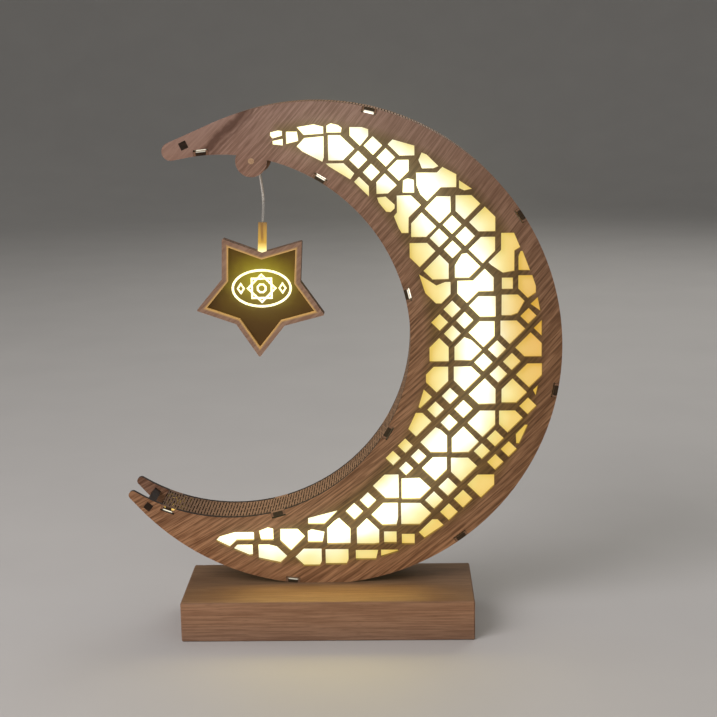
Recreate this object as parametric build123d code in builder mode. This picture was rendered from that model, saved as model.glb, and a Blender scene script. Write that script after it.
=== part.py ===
from build123d import *
import os
from math import acos, atan2, cos, degrees, dist, hypot, radians, sin, sqrt, tan

os.makedirs("parts", exist_ok=True)

# A lit crescent that stands on a wooden block, with a star hung in its bay. Two sheet panels make the
# crescent, held apart by two bent sheet walls. The origin is the centre of the block's underside, X runs to the
# right as seen from the front, the front faces -Y and Z is up. All sizes are millimetres, all angles degrees.

# Base block
BASE_W = 200.0
BASE_D = 75.0
BASE_H = 28.0
BASE_EASE = 0.8

# Crescent box
SHEET_T = 3.0
BOX_D = 37.0
BOX_INSET = 0.5
OUTER_R = 167.0
OUTER_X = -6.0
FOOT_SINK = 1.0
INNER_R = 125.5
INNER_DX = -61.0
INNER_DZ = 7.7
UPPER_TIP_R = 6.0
UPPER_TIP_REACH = 8.6
LOWER_TIP_R = 3.0
LOWER_TIP_REACH = 0.8

# Foot tenons of the panels in the base
TENON_W = 24.0
TENON_SHIFT = 3.0
TENON_DEPTH = 8.0
FIT = 0.2

# Tabs of the bent walls, in notches along the panels' edges
TAB_W = 9.6
NOTCH_SIDE = 0.2
LIGHT_GAP = 1.0
OUTER_TAB_FIRST = 76.4
OUTER_TAB_STEP = -43.3
OUTER_TABS = 5
INNER_UPPER_TAB_BACK = 19.0
INNER_LOWER_TAB_BACK = 25.7
INNER_TAB_SHARES = (0.179, 0.396, 0.613, 0.829)
OUTER_WALL_BACK = 47.3
WALL_END_MARGIN = 0.8

# Square pegs that tie the horns, placed back from each tip and up from the inner edge
PEG = 5.0
PEG_FIT = 0.1
UPPER_PEG_BACK = 8.8
UPPER_PEG_RISE = 8.3
LOWER_PEG_BACK = 12.7
LOWER_PEG_RISE = 5.2

# Ears with the dowel that carries the star
EAR_R = 10.5
EAR_SHARE = 0.0744
EAR_DROP = 2.85
DOWEL_D = 4.0
DOWEL_FIT = 0.05

# Pierced lattice of the front panel: openings that keep clear of both rims and the horns
RIM_OUTER = 11.0
RIM_INNER = 9.0
WINDOW_TOP_BACK = 62.0
WINDOW_LOW_BACK = 50.0
OPENING_AREA_MIN = 4.0
OPENING_WIDTH_MIN = 0.3

# Lit sheet behind the lattice
DIFFUSER_T = 1.5
DIFFUSER_GAP = 0.3
DIFFUSER_TOP_BACK = 14.5
DIFFUSER_LOW_BACK = 17.0

# LED strip along the middle of the rear panel
STRIP_W = 8.0
STRIP_T = 1.0
STRIP_UPPER_BACK = 51.8
STRIP_LOWER_BACK = 64.8
CHIP = 5.0
CHIP_T = 1.6
CHIP_PITCH = 16.7

# Power inlet low on the rear panel
INLET_DX = 8.0
INLET_UP = 10.0
INLET_D = 8.0
INLET_FLANGE_D = 12.0
INLET_FLANGE_T = 2.0
INLET_REACH = 11.0
INLET_MOUTH_D = 5.6
INLET_MOUTH_DEPTH = 9.5
INLET_PIN_D = 2.1
NUT_AF = 12.0
NUT_T = 2.5
NUT_FIT = 0.1

# Cable that carries the star
CABLE_D = 1.8
CABLE_REST = 0.05
FEED_LEAN = 40.0
FEED_RUN = 13.0
FEED_DROP = 2.5
CABLE_SLOT_W = 2.8
CABLE_SLOT_L = 10.0
LINK_GAP = 0.8
SWAY_DROP = 9.0
CABLE_BOW = 3.3
CABLE_BOW_DROP = 25.5

# Star: two wooden rings with a clear panel between them
STAR_DX = -0.5
STAR_DROP = 90.4
STAR_R = 45.0
STAR_NOTCH_R = 27.5
STAR_TILT = -2.7
STAR_WIDEN = 1.03
STAR_RING_W = 4.2
STAR_RING_T = 3.0
STAR_PANEL_T = 3.0
STAR_PANEL_INSET = 0.3
STAR_ROUND = 0.8
TAIL_W = 5.8
TAIL_T = 2.0
TAIL_RISE = 20.8
TAIL_SEAT = 3.0
TAIL_FIT = 0.2
TAIL_LED_W = 3.5
TAIL_LED_H = 2.8
TAIL_LED_T = 0.8
TAIL_LED_RISE = 6.0


def polar(centre, radius, angle):
    return (centre[0] + radius * cos(radians(angle)), centre[1] + radius * sin(radians(angle)))


def bearing(origin, point):
    return degrees(atan2(point[1] - origin[1], point[0] - origin[0]))


def facing(y):
    # Drawing plane at depth y as seen from the front: its sketch runs along X and Z and grows towards -Y.
    return Plane.XZ.offset(-y)


def arc_band(centre, r_in, r_out, start, end):
    # Flat strip that follows a circle from one angle to another.
    with BuildSketch() as band:
        with BuildLine():
            CenterArc(centre, r_out, start, end - start)
            CenterArc(centre, r_in, start, end - start)
            Line(polar(centre, r_in, start), polar(centre, r_out, start))
            Line(polar(centre, r_in, end), polar(centre, r_out, end))
        make_face()
    return band.sketch


REAR_Y = BASE_D / 2 - BOX_INSET
FRONT_Y = REAR_Y - BOX_D
BAY_FRONT_Y = FRONT_Y + SHEET_T
BAY_REAR_Y = REAR_Y - SHEET_T
MID_Y = (FRONT_Y + REAR_Y) / 2
OUTER_C = (OUTER_X, BASE_H + OUTER_R - FOOT_SINK)
INNER_C = (OUTER_C[0] + INNER_DX, OUTER_C[1] + INNER_DZ)
TENON_X = OUTER_X + TENON_SHIFT
NOTCH_W = TAB_W + 2 * NOTCH_SIDE
NOTCH_DEPTH = SHEET_T + LIGHT_GAP


def horn_tip(radius, reach, side):
    # Centre of a horn's round end. It would touch both circles, and is then drawn out along the inner one.
    offset = hypot(INNER_DX, INNER_DZ)
    to_outer = OUTER_R - radius
    to_inner = INNER_R + radius
    along = (to_outer**2 - to_inner**2 + offset**2) / (2 * offset)
    across = side * sqrt(to_outer**2 - along**2)
    ux, uz = INNER_DX / offset, INNER_DZ / offset
    seat = (OUTER_C[0] + along * ux + across * uz, OUTER_C[1] + along * uz - across * ux)
    return polar(seat, reach, bearing(INNER_C, seat) + side * 90)


UPPER_TIP = horn_tip(UPPER_TIP_R, UPPER_TIP_REACH, 1)
LOWER_TIP = horn_tip(LOWER_TIP_R, LOWER_TIP_REACH, -1)


def outer_tangent(tip, radius, side):
    return bearing(OUTER_C, tip) - side * degrees(acos((OUTER_R - radius) / dist(OUTER_C, tip)))


def inner_tangent(tip, radius, side):
    return bearing(INNER_C, tip) - side * degrees(acos((INNER_R + radius) / dist(INNER_C, tip)))


def back_from(tip, centre, radius, distance, side):
    # Angle round a circle, a distance along it back from a horn's tip.
    return bearing(centre, tip) - side * degrees(distance / radius)


INNER_UPPER_TAB = back_from(UPPER_TIP, INNER_C, INNER_R, INNER_UPPER_TAB_BACK, 1)
INNER_LOWER_TAB = back_from(LOWER_TIP, INNER_C, INNER_R, INNER_LOWER_TAB_BACK, -1)
INNER_SPAN = INNER_LOWER_TAB - INNER_UPPER_TAB
INNER_TAB_ANGLES = [INNER_UPPER_TAB + share * INNER_SPAN for share in (0.0, *INNER_TAB_SHARES, 1.0)]
OUTER_TAB_ANGLES = [OUTER_TAB_FIRST + i * OUTER_TAB_STEP for i in range(OUTER_TABS)]
OUTER_WALL_TOP = back_from(UPPER_TIP, OUTER_C, OUTER_R, OUTER_WALL_BACK, 1)
OUTER_WALL_LOW = back_from(LOWER_TIP, OUTER_C, OUTER_R, OUTER_WALL_BACK, -1)
EAR_ANGLE = INNER_UPPER_TAB + EAR_SHARE * INNER_SPAN
EAR_C = polar(INNER_C, INNER_R - EAR_DROP, EAR_ANGLE)
UPPER_PEG_BEARING = back_from(UPPER_TIP, INNER_C, INNER_R, UPPER_PEG_BACK, 1)
LOWER_PEG_BEARING = back_from(LOWER_TIP, INNER_C, INNER_R, LOWER_PEG_BACK, -1)
UPPER_PEG_C = polar(INNER_C, INNER_R + UPPER_PEG_RISE, UPPER_PEG_BEARING)
LOWER_PEG_C = polar(INNER_C, INNER_R + LOWER_PEG_RISE, LOWER_PEG_BEARING)
UPPER_PEG_ANGLE = bearing(UPPER_TIP, UPPER_PEG_C)
LOWER_PEG_ANGLE = bearing(LOWER_TIP, LOWER_PEG_C)
INLET_C = (OUTER_X + INLET_DX, BASE_H + INLET_UP)


def panel_outline():
    # Outline that both panels share: crescent, ear, flat foot with its tenon, notches and peg holes.
    out_up = outer_tangent(UPPER_TIP, UPPER_TIP_R, 1)
    out_low = outer_tangent(LOWER_TIP, LOWER_TIP_R, -1)
    in_up = inner_tangent(UPPER_TIP, UPPER_TIP_R, 1)
    in_low = inner_tangent(LOWER_TIP, LOWER_TIP_R, -1)
    with BuildSketch() as outline:
        with BuildLine():
            CenterArc(OUTER_C, OUTER_R, out_low, out_up - out_low)
            Line(polar(OUTER_C, OUTER_R, out_up), polar(UPPER_TIP, UPPER_TIP_R, out_up))
            CenterArc(UPPER_TIP, UPPER_TIP_R, out_up, in_up + 180 - out_up)
            Line(polar(UPPER_TIP, UPPER_TIP_R, in_up + 180), polar(INNER_C, INNER_R, in_up))
            CenterArc(INNER_C, INNER_R, in_low, in_up - in_low)
            Line(polar(INNER_C, INNER_R, in_low), polar(LOWER_TIP, LOWER_TIP_R, in_low + 180))
            CenterArc(LOWER_TIP, LOWER_TIP_R, in_low + 180, out_low + 180 - in_low)
            Line(polar(LOWER_TIP, LOWER_TIP_R, out_low), polar(OUTER_C, OUTER_R, out_low))
        make_face()
        with Locations(EAR_C):
            Circle(EAR_R)
            Circle(DOWEL_D / 2 + DOWEL_FIT, mode=Mode.SUBTRACT)
        with Locations((OUTER_X, BASE_H)):
            Rectangle(OUTER_R, FOOT_SINK * 2, align=(Align.CENTER, Align.MAX), mode=Mode.SUBTRACT)
        with Locations((TENON_X, BASE_H)):
            Rectangle(TENON_W, TENON_DEPTH, align=(Align.CENTER, Align.MAX))
        for angle in OUTER_TAB_ANGLES:
            with Locations(Location(polar(OUTER_C, OUTER_R - NOTCH_DEPTH, angle), angle)):
                Rectangle(2 * NOTCH_DEPTH, NOTCH_W, align=(Align.MIN, Align.CENTER), mode=Mode.SUBTRACT)
        for angle in INNER_TAB_ANGLES:
            with Locations(Location(polar(INNER_C, INNER_R + NOTCH_DEPTH, angle), angle)):
                Rectangle(2 * NOTCH_DEPTH, NOTCH_W, align=(Align.MAX, Align.CENTER), mode=Mode.SUBTRACT)
        for centre, angle in ((UPPER_PEG_C, UPPER_PEG_ANGLE), (LOWER_PEG_C, LOWER_PEG_ANGLE)):
            with Locations(Location(centre, angle)):
                Rectangle(PEG + 2 * PEG_FIT, PEG + 2 * PEG_FIT, mode=Mode.SUBTRACT)
    return outline.sketch


# Base block: solid timber with eased edges. The front tenon stands in a slot, the rear one in an open rebate.
with BuildPart() as base_block:
    with BuildSketch():
        Rectangle(BASE_W, BASE_D)
    extrude(amount=BASE_H)
    chamfer(base_block.edges(), BASE_EASE)
    with BuildSketch(Plane.XY.offset(BASE_H)):
        with Locations((TENON_X, FRONT_Y - FIT)):
            Rectangle(TENON_W + 2 * FIT, SHEET_T + 2 * FIT, align=(Align.CENTER, Align.MIN))
        with Locations((TENON_X, BAY_REAR_Y - FIT)):
            Rectangle(TENON_W + 2 * FIT, SHEET_T + 2 * BOX_INSET + FIT, align=(Align.CENTER, Align.MIN))
    extrude(amount=-(TENON_DEPTH + FIT), mode=Mode.SUBTRACT)
base_block.part.label = "base_block"
export_step(base_block.part, "parts/base_block.step")

# Lattice openings, traced from the photograph, in millimetres right of and above the outer circle's centre.
# The squares on their corners are given by centre and width, the other openings by their corners.
DIAMONDS = [
    (31.1, 128.3, 12.0), (40.9, 137.5, 12.3), (39.6, 120.0, 11.4), (49.3, 129.6, 12.2), (92.9, 84.6, 12.6),
    (84.2, 75.8, 12.8), (101.6, 76.7, 13.2), (93.1, 68.0, 12.0), (92.7, 27.5, 12.0), (84.3, 18.5, 11.8),
    (101.1, 19.7, 12.0), (144.0, 22.3, 11.2), (92.8, 10.7, 11.8), (123.0, -0.4, 12.6), (133.0, -9.0, 12.4),
    (113.8, -9.3, 12.8), (124.0, -17.7, 12.4), (144.1, -40.1, 12.2), (91.1, -32.6, 11.8),
    (100.2, -41.8, 13.0), (81.2, -42.1, 12.0), (121.9, -62.8, 12.2), (90.4, -51.3, 12.2),
    (131.2, -70.5, 11.6), (112.8, -71.8, 11.7), (122.0, -79.6, 11.8), (60.2, -67.5, 11.0),
    (69.3, -75.2, 11.4), (99.8, -105.9, 13.6), (89.4, -97.2, 13.8), (60.6, -83.7, 10.4),
    (51.7, -76.2, 11.0), (90.0, -115.3, 13.0), (79.7, -106.7, 13.2), (33.9, -106.4, 12.2),
    (24.3, -114.3, 12.8),
]
OPENINGS = [
    [(-26.7, 144.9), (-25.2, 143.2), (-18.8, 144.9), (-18.8, 147.9), (-21.4, 148.2), (-26.6, 147.0)],
    [(-25.2, 139.2), (-18.4, 138.4), (-18.4, 142.8), (-25.2, 141.5)],
    [(-8.2, 141.3), (-8.9, 147.3), (-16.2, 147.4), (-16.2, 139.4)],
    [(-4.6, 145.1), (8.4, 145.8), (8.4, 150.3), (2.2, 151.9), (-9.1, 150.2)],
    [(-9.4, 137.7), (-6.0, 134.4), (7.4, 127.3), (8.4, 130.3), (8.5, 144.1), (-4.1, 143.1)],
    [(10.5, 146.4), (20.0, 146.4), (20.5, 149.5), (18.1, 151.2), (13.3, 152.4), (10.5, 150.8)],
    [(11.3, 128.1), (21.0, 128.1), (28.7, 135.6), (19.4, 144.6), (11.4, 144.7)],
    [(11.6, 124.2), (25.6, 115.4), (28.4, 119.5), (21.4, 126.3), (9.4, 126.3)],
    [(25.7, 144.0), (32.4, 137.4), (37.9, 143.8), (38.0, 148.2), (34.0, 149.6), (25.7, 149.7)],
    [(28.0, 113.8), (37.9, 103.9), (37.9, 111.0), (31.5, 117.3)],
    [(58.3, 130.6), (68.2, 130.6), (68.2, 137.1), (53.8, 141.3), (50.7, 138.2)],
    [(50.5, 105.8), (56.4, 111.3), (48.5, 119.1), (42.9, 113.5), (42.9, 105.6)],
    [(64.3, 120.3), (64.4, 127.9), (56.7, 127.9), (50.3, 121.5), (57.8, 114.1)],
    [(44.2, 99.9), (49.1, 93.7), (52.1, 93.4), (54.8, 95.9), (54.8, 98.5), (48.9, 103.9), (43.2, 103.3)],
    [(70.8, 127.7), (73.2, 122.0), (80.7, 122.0), (84.1, 123.3), (76.3, 131.1), (72.9, 132.5)],
    [(60.2, 106.2), (67.8, 106.1), (67.6, 114.7), (63.5, 115.7), (60.6, 114.3)],
    [(72.0, 104.8), (76.4, 100.4), (85.4, 109.3), (95.7, 109.3), (95.8, 117.9),
     (86.5, 122.9), (82.9, 119.3), (69.2, 119.3), (69.5, 110.8)],
    [(63.8, 79.3), (64.0, 89.6), (72.3, 97.9), (65.7, 104.4), (56.3, 104.5),
     (56.3, 93.3), (54.2, 90.7), (57.4, 82.5), (59.3, 79.3)],
    [(97.5, 108.7), (101.0, 107.1), (106.2, 108.1), (97.5, 114.0)],
    [(91.9, 92.9), (91.9, 103.5), (82.6, 103.5), (74.7, 95.5), (84.6, 85.6)],
    [(75.6, 76.5), (82.4, 83.3), (72.6, 93.1), (65.7, 85.9), (65.6, 76.5)],
    [(95.2, 93.6), (101.2, 87.7), (111.7, 98.2), (105.7, 104.1), (95.2, 104.1)],
    [(64.5, 62.8), (71.1, 56.2), (81.8, 67.0), (76.1, 72.7), (64.5, 72.7)],
    [(110.5, 79.7), (121.6, 79.7), (121.6, 89.4), (114.5, 96.4), (104.1, 86.1)],
    [(113.3, 58.3), (121.5, 66.5), (121.5, 76.2), (112.0, 76.2), (103.7, 67.9)],
    [(73.5, 53.8), (79.6, 47.7), (90.5, 47.9), (90.5, 58.5), (84.4, 64.7)],
    [(104.1, 48.7), (111.8, 56.2), (102.5, 65.5), (99.2, 64.9), (94.6, 57.4), (94.6, 48.6)],
    [(134.4, 53.0), (134.4, 66.6), (138.2, 68.9), (134.0, 78.7), (125.4, 78.7),
     (125.4, 67.4), (116.9, 59.0), (119.1, 56.9), (126.8, 51.7)],
    [(137.0, 63.0), (137.1, 53.4), (144.9, 53.2), (139.8, 66.4), (138.4, 66.4)],
    [(74.8, 38.4), (81.9, 31.4), (85.5, 31.3), (91.7, 37.6),
     (91.7, 46.2), (88.0, 46.2), (82.2, 43.9), (70.6, 51.6)],
    [(102.7, 31.5), (110.4, 39.3), (120.6, 39.3), (120.6, 48.8),
     (114.5, 54.8), (106.7, 46.9), (96.2, 46.9), (96.2, 38.0)],
    [(133.5, 40.7), (133.5, 48.6), (126.0, 48.6), (126.0, 40.7)],
    [(137.0, 41.0), (143.5, 34.4), (148.9, 38.0), (148.9, 42.5), (146.3, 50.1), (137.0, 50.1)],
    [(111.5, 21.9), (122.0, 21.9), (122.0, 36.2), (110.3, 36.2), (103.8, 29.7)],
    [(125.9, 22.7), (132.6, 22.7), (136.8, 24.2), (141.4, 32.5), (136.8, 37.1), (125.9, 37.1)],
    [(150.1, 35.3), (145.2, 30.5), (152.0, 25.6)],
    [(153.1, 19.7), (147.5, 14.0), (153.1, 8.4)],
    [(125.2, 9.3), (131.6, 2.9), (142.1, 13.4), (136.1, 19.4), (125.2, 19.4)],
    [(113.9, 1.0), (121.3, 8.4), (121.3, 19.1), (111.1, 19.1), (103.5, 11.4)],
    [(135.1, 0.7), (141.6, -5.8), (153.2, -5.8), (153.2, 3.5), (145.5, 11.2)],
    [(105.6, -8.0), (112.8, -0.8), (105.7, 6.3), (100.8, 8.4), (94.2, 1.8), (94.2, -8.0)],
    [(90.3, -8.6), (90.3, 1.6), (83.9, 8.0), (77.3, 1.4), (77.3, -8.6)],
    [(144.9, -27.4), (153.5, -18.8), (153.5, -10.3), (143.4, -10.3), (135.6, -18.1)],
    [(93.7, -22.0), (101.1, -29.4), (112.0, -18.4), (105.4, -11.9), (93.7, -11.9)],
    [(151.1, -25.1), (147.4, -28.8), (149.5, -32.9)],
    [(89.9, -22.5), (89.9, -11.9), (80.0, -11.9), (74.8, -17.2), (74.8, -23.2), (82.0, -30.3)],
    [(136.3, -37.9), (143.6, -30.6), (133.5, -20.6), (126.1, -28.0), (126.1, -37.9)],
    [(110.5, -38.6), (122.1, -38.6), (122.1, -27.9), (114.7, -20.4), (103.5, -31.6)],
    [(124.5, -53.1), (130.4, -59.0), (140.9, -48.5), (135.4, -43.0), (124.5, -43.0)],
    [(113.3, -62.1), (121.9, -53.5), (121.9, -42.9), (111.4, -42.9), (102.8, -51.6)],
    [(136.3, -66.8), (138.4, -66.8), (144.4, -53.2), (142.1, -53.1), (136.0, -59.6)],
    [(69.3, -40.7), (70.9, -41.2), (79.0, -33.2), (73.2, -27.6)],
    [(103.7, -72.7), (111.0, -65.2), (100.1, -54.0), (92.2, -61.9), (92.2, -72.8)],
    [(78.5, -50.5), (72.1, -44.0), (67.6, -44.0), (62.2, -55.7), (67.7, -61.3)],
    [(88.9, -60.4), (84.6, -56.1), (81.1, -54.3), (70.3, -65.1), (77.7, -72.5), (88.9, -72.5)],
    [(91.6, -86.8), (98.6, -93.8), (109.9, -82.6), (103.3, -76.1), (91.6, -76.1)],
    [(112.2, -105.5), (121.4, -96.3), (121.4, -88.3), (109.7, -88.3), (102.4, -95.7)],
    [(88.7, -85.0), (88.7, -75.6), (79.1, -75.6), (71.2, -83.5), (80.7, -93.0)],
    [(57.4, -105.8), (70.1, -105.8), (77.9, -98.0), (69.9, -90.2), (57.4, -90.5)],
    [(72.9, -134.4), (86.7, -124.9), (82.1, -120.3), (78.4, -120.3), (68.6, -130.1)],
    [(69.7, -124.4), (78.0, -116.1), (70.2, -108.3), (56.9, -108.3), (56.9, -124.4)],
    [(46.1, -105.2), (55.3, -105.2), (55.3, -87.7), (45.6, -87.7), (37.1, -96.2)],
    [(66.1, -138.5), (66.1, -130.8), (57.2, -130.8), (57.2, -138.5)],
    [(43.6, -124.6), (53.5, -124.6), (54.6, -120.0), (54.6, -108.1), (44.6, -108.1), (35.8, -116.9)],
    [(53.5, -137.6), (53.5, -128.9), (44.8, -128.9), (44.8, -137.6)],
    [(42.5, -147.6), (55.5, -143.5), (54.0, -142.3), (42.5, -142.2)],
    [(25.8, -138.4), (38.0, -138.5), (41.3, -138.0), (41.4, -127.5), (32.9, -119.1), (25.9, -126.2)],
    [(39.0, -149.5), (40.7, -142.3), (24.8, -142.3), (24.8, -149.5)],
    [(21.3, -138.0), (21.3, -126.3), (13.6, -118.6), (10.3, -120.9), (5.1, -126.0), (5.1, -138.0)],
    [(18.3, -152.8), (19.7, -149.8), (19.7, -141.6), (3.6, -141.6), (3.6, -152.8)],
    [(3.2, -123.5), (13.6, -113.1), (-8.1, -118.7), (-8.1, -123.5)],
    [(-8.5, -136.7), (1.7, -136.7), (3.2, -128.7), (-5.6, -126.8), (-8.5, -128.0)],
    [(-11.7, -153.8), (-0.6, -153.8), (0.9, -151.0), (0.9, -141.1), (-11.6, -141.1), (-18.0, -147.5)],
    [(-27.8, -135.5), (-20.6, -142.8), (-10.2, -132.1), (-15.5, -126.4), (-27.8, -126.4)],
    [(-43.4, -148.2), (-28.2, -151.7), (-23.0, -146.5), (-30.3, -139.2), (-35.9, -137.7), (-43.4, -137.7)],
    [(-32.6, -134.8), (-32.6, -126.1), (-36.3, -125.2), (-42.8, -127.8), (-41.5, -134.8)],
    [(-50.0, -146.0), (-47.3, -145.6), (-47.3, -137.7), (-57.9, -137.7), (-61.2, -141.0)],
    [(-63.6, -139.7), (-58.6, -134.7), (-46.2, -134.7), (-46.2, -128.5),
     (-59.5, -128.5), (-70.0, -131.5), (-73.2, -134.7)],
]

# Front panel: laser-cut veneered sheet with the pierced lattice
with BuildPart() as front_panel:
    with BuildSketch(facing(BAY_FRONT_Y)):
        add(panel_outline())
    extrude(amount=SHEET_T)
    with BuildSketch(facing(BAY_FRONT_Y), mode=Mode.PRIVATE) as window:
        with Locations(OUTER_C):
            Circle(OUTER_R - RIM_OUTER)
        with Locations(INNER_C):
            Circle(INNER_R + RIM_INNER, mode=Mode.SUBTRACT)
        with Locations((UPPER_TIP[0] + WINDOW_TOP_BACK, INNER_C[1])):
            Rectangle(OUTER_R, OUTER_R, align=(Align.MAX, Align.MIN), mode=Mode.SUBTRACT)
        with Locations((LOWER_TIP[0] + WINDOW_LOW_BACK, INNER_C[1])):
            Rectangle(OUTER_R, OUTER_R, align=(Align.MAX, Align.MAX), mode=Mode.SUBTRACT)
    with BuildSketch(facing(BAY_FRONT_Y), mode=Mode.PRIVATE) as openings:
        with Locations(OUTER_C):
            for x, z, width in DIAMONDS:
                with Locations(Location((x, z), 45)):
                    Rectangle(width / sqrt(2), width / sqrt(2))
            for corners in OPENINGS:
                Polygon(*corners, align=None)
        add(window.sketch, mode=Mode.INTERSECT)
    pierced = [
        cell
        for cell in openings.sketch.faces()
        if cell.area > OPENING_AREA_MIN and cell.area / cell.outer_wire().length > OPENING_WIDTH_MIN
    ]
    extrude(pierced, amount=SHEET_T, mode=Mode.SUBTRACT)
front_panel.part.label = "front_panel"
export_step(front_panel.part, "parts/front_panel.step")
print("lattice openings:", len(pierced), "of", len(DIAMONDS) + len(OPENINGS))

# Rear panel: the same outline left plain, with a hole for the power inlet
with BuildPart() as rear_panel:
    with BuildSketch(facing(REAR_Y)):
        add(panel_outline())
        with Locations(INLET_C):
            Circle(INLET_D / 2 + NUT_FIT, mode=Mode.SUBTRACT)
    extrude(amount=SHEET_T)
rear_panel.part.label = "rear_panel"
export_step(rear_panel.part, "parts/rear_panel.step")

# Outer wall: sheet bent round between the panels, flat where it stands on the base
with BuildPart() as outer_wall:
    with BuildSketch(facing(BAY_REAR_Y)):
        add(arc_band(OUTER_C, OUTER_R - SHEET_T, OUTER_R, OUTER_WALL_LOW, OUTER_WALL_TOP))
    extrude(amount=BOX_D - 2 * SHEET_T)
    with BuildSketch(facing(REAR_Y)):
        half = degrees(TAB_W / 2 / OUTER_R)
        for angle in OUTER_TAB_ANGLES:
            add(arc_band(OUTER_C, OUTER_R - SHEET_T, OUTER_R, angle - half, angle + half))
    extrude(amount=BOX_D)
    with BuildSketch(facing(REAR_Y)):
        with Locations((OUTER_X, BASE_H)):
            Rectangle(OUTER_R, FOOT_SINK * 2, align=(Align.CENTER, Align.MAX))
    extrude(amount=BOX_D, mode=Mode.SUBTRACT)
outer_wall.part.label = "outer_wall"
export_step(outer_wall.part, "parts/outer_wall.step")

# Inner wall: sheet bent round the bay, with tabs into both panels and a slot where the star's cable comes out
with BuildPart() as inner_wall:
    half = degrees(TAB_W / 2 / INNER_R)
    margin = half + degrees(WALL_END_MARGIN / INNER_R)
    with BuildSketch(facing(BAY_REAR_Y)):
        add(arc_band(INNER_C, INNER_R, INNER_R + SHEET_T, INNER_LOWER_TAB - margin, INNER_UPPER_TAB + margin))
    extrude(amount=BOX_D - 2 * SHEET_T)
    with BuildSketch(facing(REAR_Y)):
        for angle in INNER_TAB_ANGLES:
            add(arc_band(INNER_C, INNER_R, INNER_R + SHEET_T, angle - half, angle + half))
    extrude(amount=BOX_D)
    with BuildSketch(facing(MID_Y + CABLE_SLOT_W / 2)):
        reach = degrees(CABLE_SLOT_L / 2 / INNER_R)
        add(arc_band(INNER_C, INNER_R - SHEET_T, INNER_R + 2 * SHEET_T, EAR_ANGLE - reach, EAR_ANGLE + reach))
    extrude(amount=CABLE_SLOT_W, mode=Mode.SUBTRACT)
inner_wall.part.label = "inner_wall"
export_step(inner_wall.part, "parts/inner_wall.step")

# Lit sheet: thin white sheet glued behind the lattice, just inside the two walls
with BuildPart() as diffuser:
    with BuildSketch(facing(BAY_FRONT_Y + DIFFUSER_T)):
        with Locations(OUTER_C):
            Circle(OUTER_R - SHEET_T - DIFFUSER_GAP)
        with Locations(INNER_C):
            Circle(INNER_R + SHEET_T + DIFFUSER_GAP, mode=Mode.SUBTRACT)
        with Locations((UPPER_TIP[0] + DIFFUSER_TOP_BACK, INNER_C[1])):
            Rectangle(OUTER_R, OUTER_R, align=(Align.MAX, Align.MIN), mode=Mode.SUBTRACT)
        with Locations((LOWER_TIP[0] + DIFFUSER_LOW_BACK, INNER_C[1])):
            Rectangle(OUTER_R, OUTER_R, align=(Align.MAX, Align.MAX), mode=Mode.SUBTRACT)
    extrude(amount=DIFFUSER_T)
diffuser.part.label = "diffuser"
export_step(diffuser.part, "parts/diffuser.step")

# LED strip: flexible circuit stuck to the rear panel along the middle of the crescent
STRIP_C = ((OUTER_C[0] + INNER_C[0]) / 2, (OUTER_C[1] + INNER_C[1]) / 2)
STRIP_R = (OUTER_R + INNER_R) / 2
STRIP_FROM = back_from(LOWER_TIP, STRIP_C, STRIP_R, STRIP_LOWER_BACK, -1)
STRIP_TO = back_from(UPPER_TIP, STRIP_C, STRIP_R, STRIP_UPPER_BACK, 1)
with BuildPart() as led_strip:
    with BuildSketch(facing(BAY_REAR_Y)):
        add(arc_band(STRIP_C, STRIP_R - STRIP_W / 2, STRIP_R + STRIP_W / 2, STRIP_FROM, STRIP_TO))
    extrude(amount=STRIP_T)
led_strip.part.label = "led_strip"
export_step(led_strip.part, "parts/led_strip.step")

# LED chips: a row of square packages soldered along the strip
CHIPS = int(radians(STRIP_TO - STRIP_FROM) * STRIP_R / CHIP_PITCH)
with BuildPart() as led_chips:
    with BuildSketch(facing(BAY_REAR_Y - STRIP_T)):
        for i in range(CHIPS):
            angle = STRIP_FROM + (STRIP_TO - STRIP_FROM) * (i + 0.5) / CHIPS
            with Locations(Location(polar(STRIP_C, STRIP_R, angle), angle)):
                Rectangle(CHIP, CHIP)
    extrude(amount=CHIP_T)
led_chips.part.label = "led_chips"
export_step(led_chips.part, "parts/led_chips.step")

# Power inlet: round socket with a flange on the outside of the rear panel and a centre pin in its mouth
with BuildPart() as power_inlet:
    with BuildSketch(facing(REAR_Y)):
        with Locations(INLET_C):
            Circle(INLET_D / 2)
    extrude(amount=INLET_REACH)
    with BuildSketch(facing(REAR_Y + INLET_FLANGE_T)):
        with Locations(INLET_C):
            Circle(INLET_FLANGE_D / 2)
    extrude(amount=INLET_FLANGE_T)
    with BuildSketch(facing(REAR_Y + INLET_FLANGE_T)):
        with Locations(INLET_C):
            Circle(INLET_MOUTH_D / 2)
            Circle(INLET_PIN_D / 2, mode=Mode.SUBTRACT)
    extrude(amount=INLET_MOUTH_DEPTH, mode=Mode.SUBTRACT)
power_inlet.part.label = "power_inlet"
export_step(power_inlet.part, "parts/power_inlet.step")

# Inlet nut: hexagon nut that draws the socket's flange against the rear panel from inside
with BuildPart() as inlet_nut:
    with BuildSketch(facing(BAY_REAR_Y)):
        with Locations(INLET_C):
            RegularPolygon(NUT_AF / 2, 6, major_radius=False)
            Circle(INLET_D / 2 + NUT_FIT / 2, mode=Mode.SUBTRACT)
    extrude(amount=NUT_T)
inlet_nut.part.label = "inlet_nut"
export_step(inlet_nut.part, "parts/inlet_nut.step")

# Horn pegs: square bars through both panels, flush with their faces
with BuildPart() as upper_tip_peg:
    with BuildSketch(facing(REAR_Y)):
        with Locations(Location(UPPER_PEG_C, UPPER_PEG_ANGLE)):
            Rectangle(PEG, PEG)
    extrude(amount=BOX_D)
upper_tip_peg.part.label = "upper_tip_peg"
export_step(upper_tip_peg.part, "parts/upper_tip_peg.step")

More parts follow.
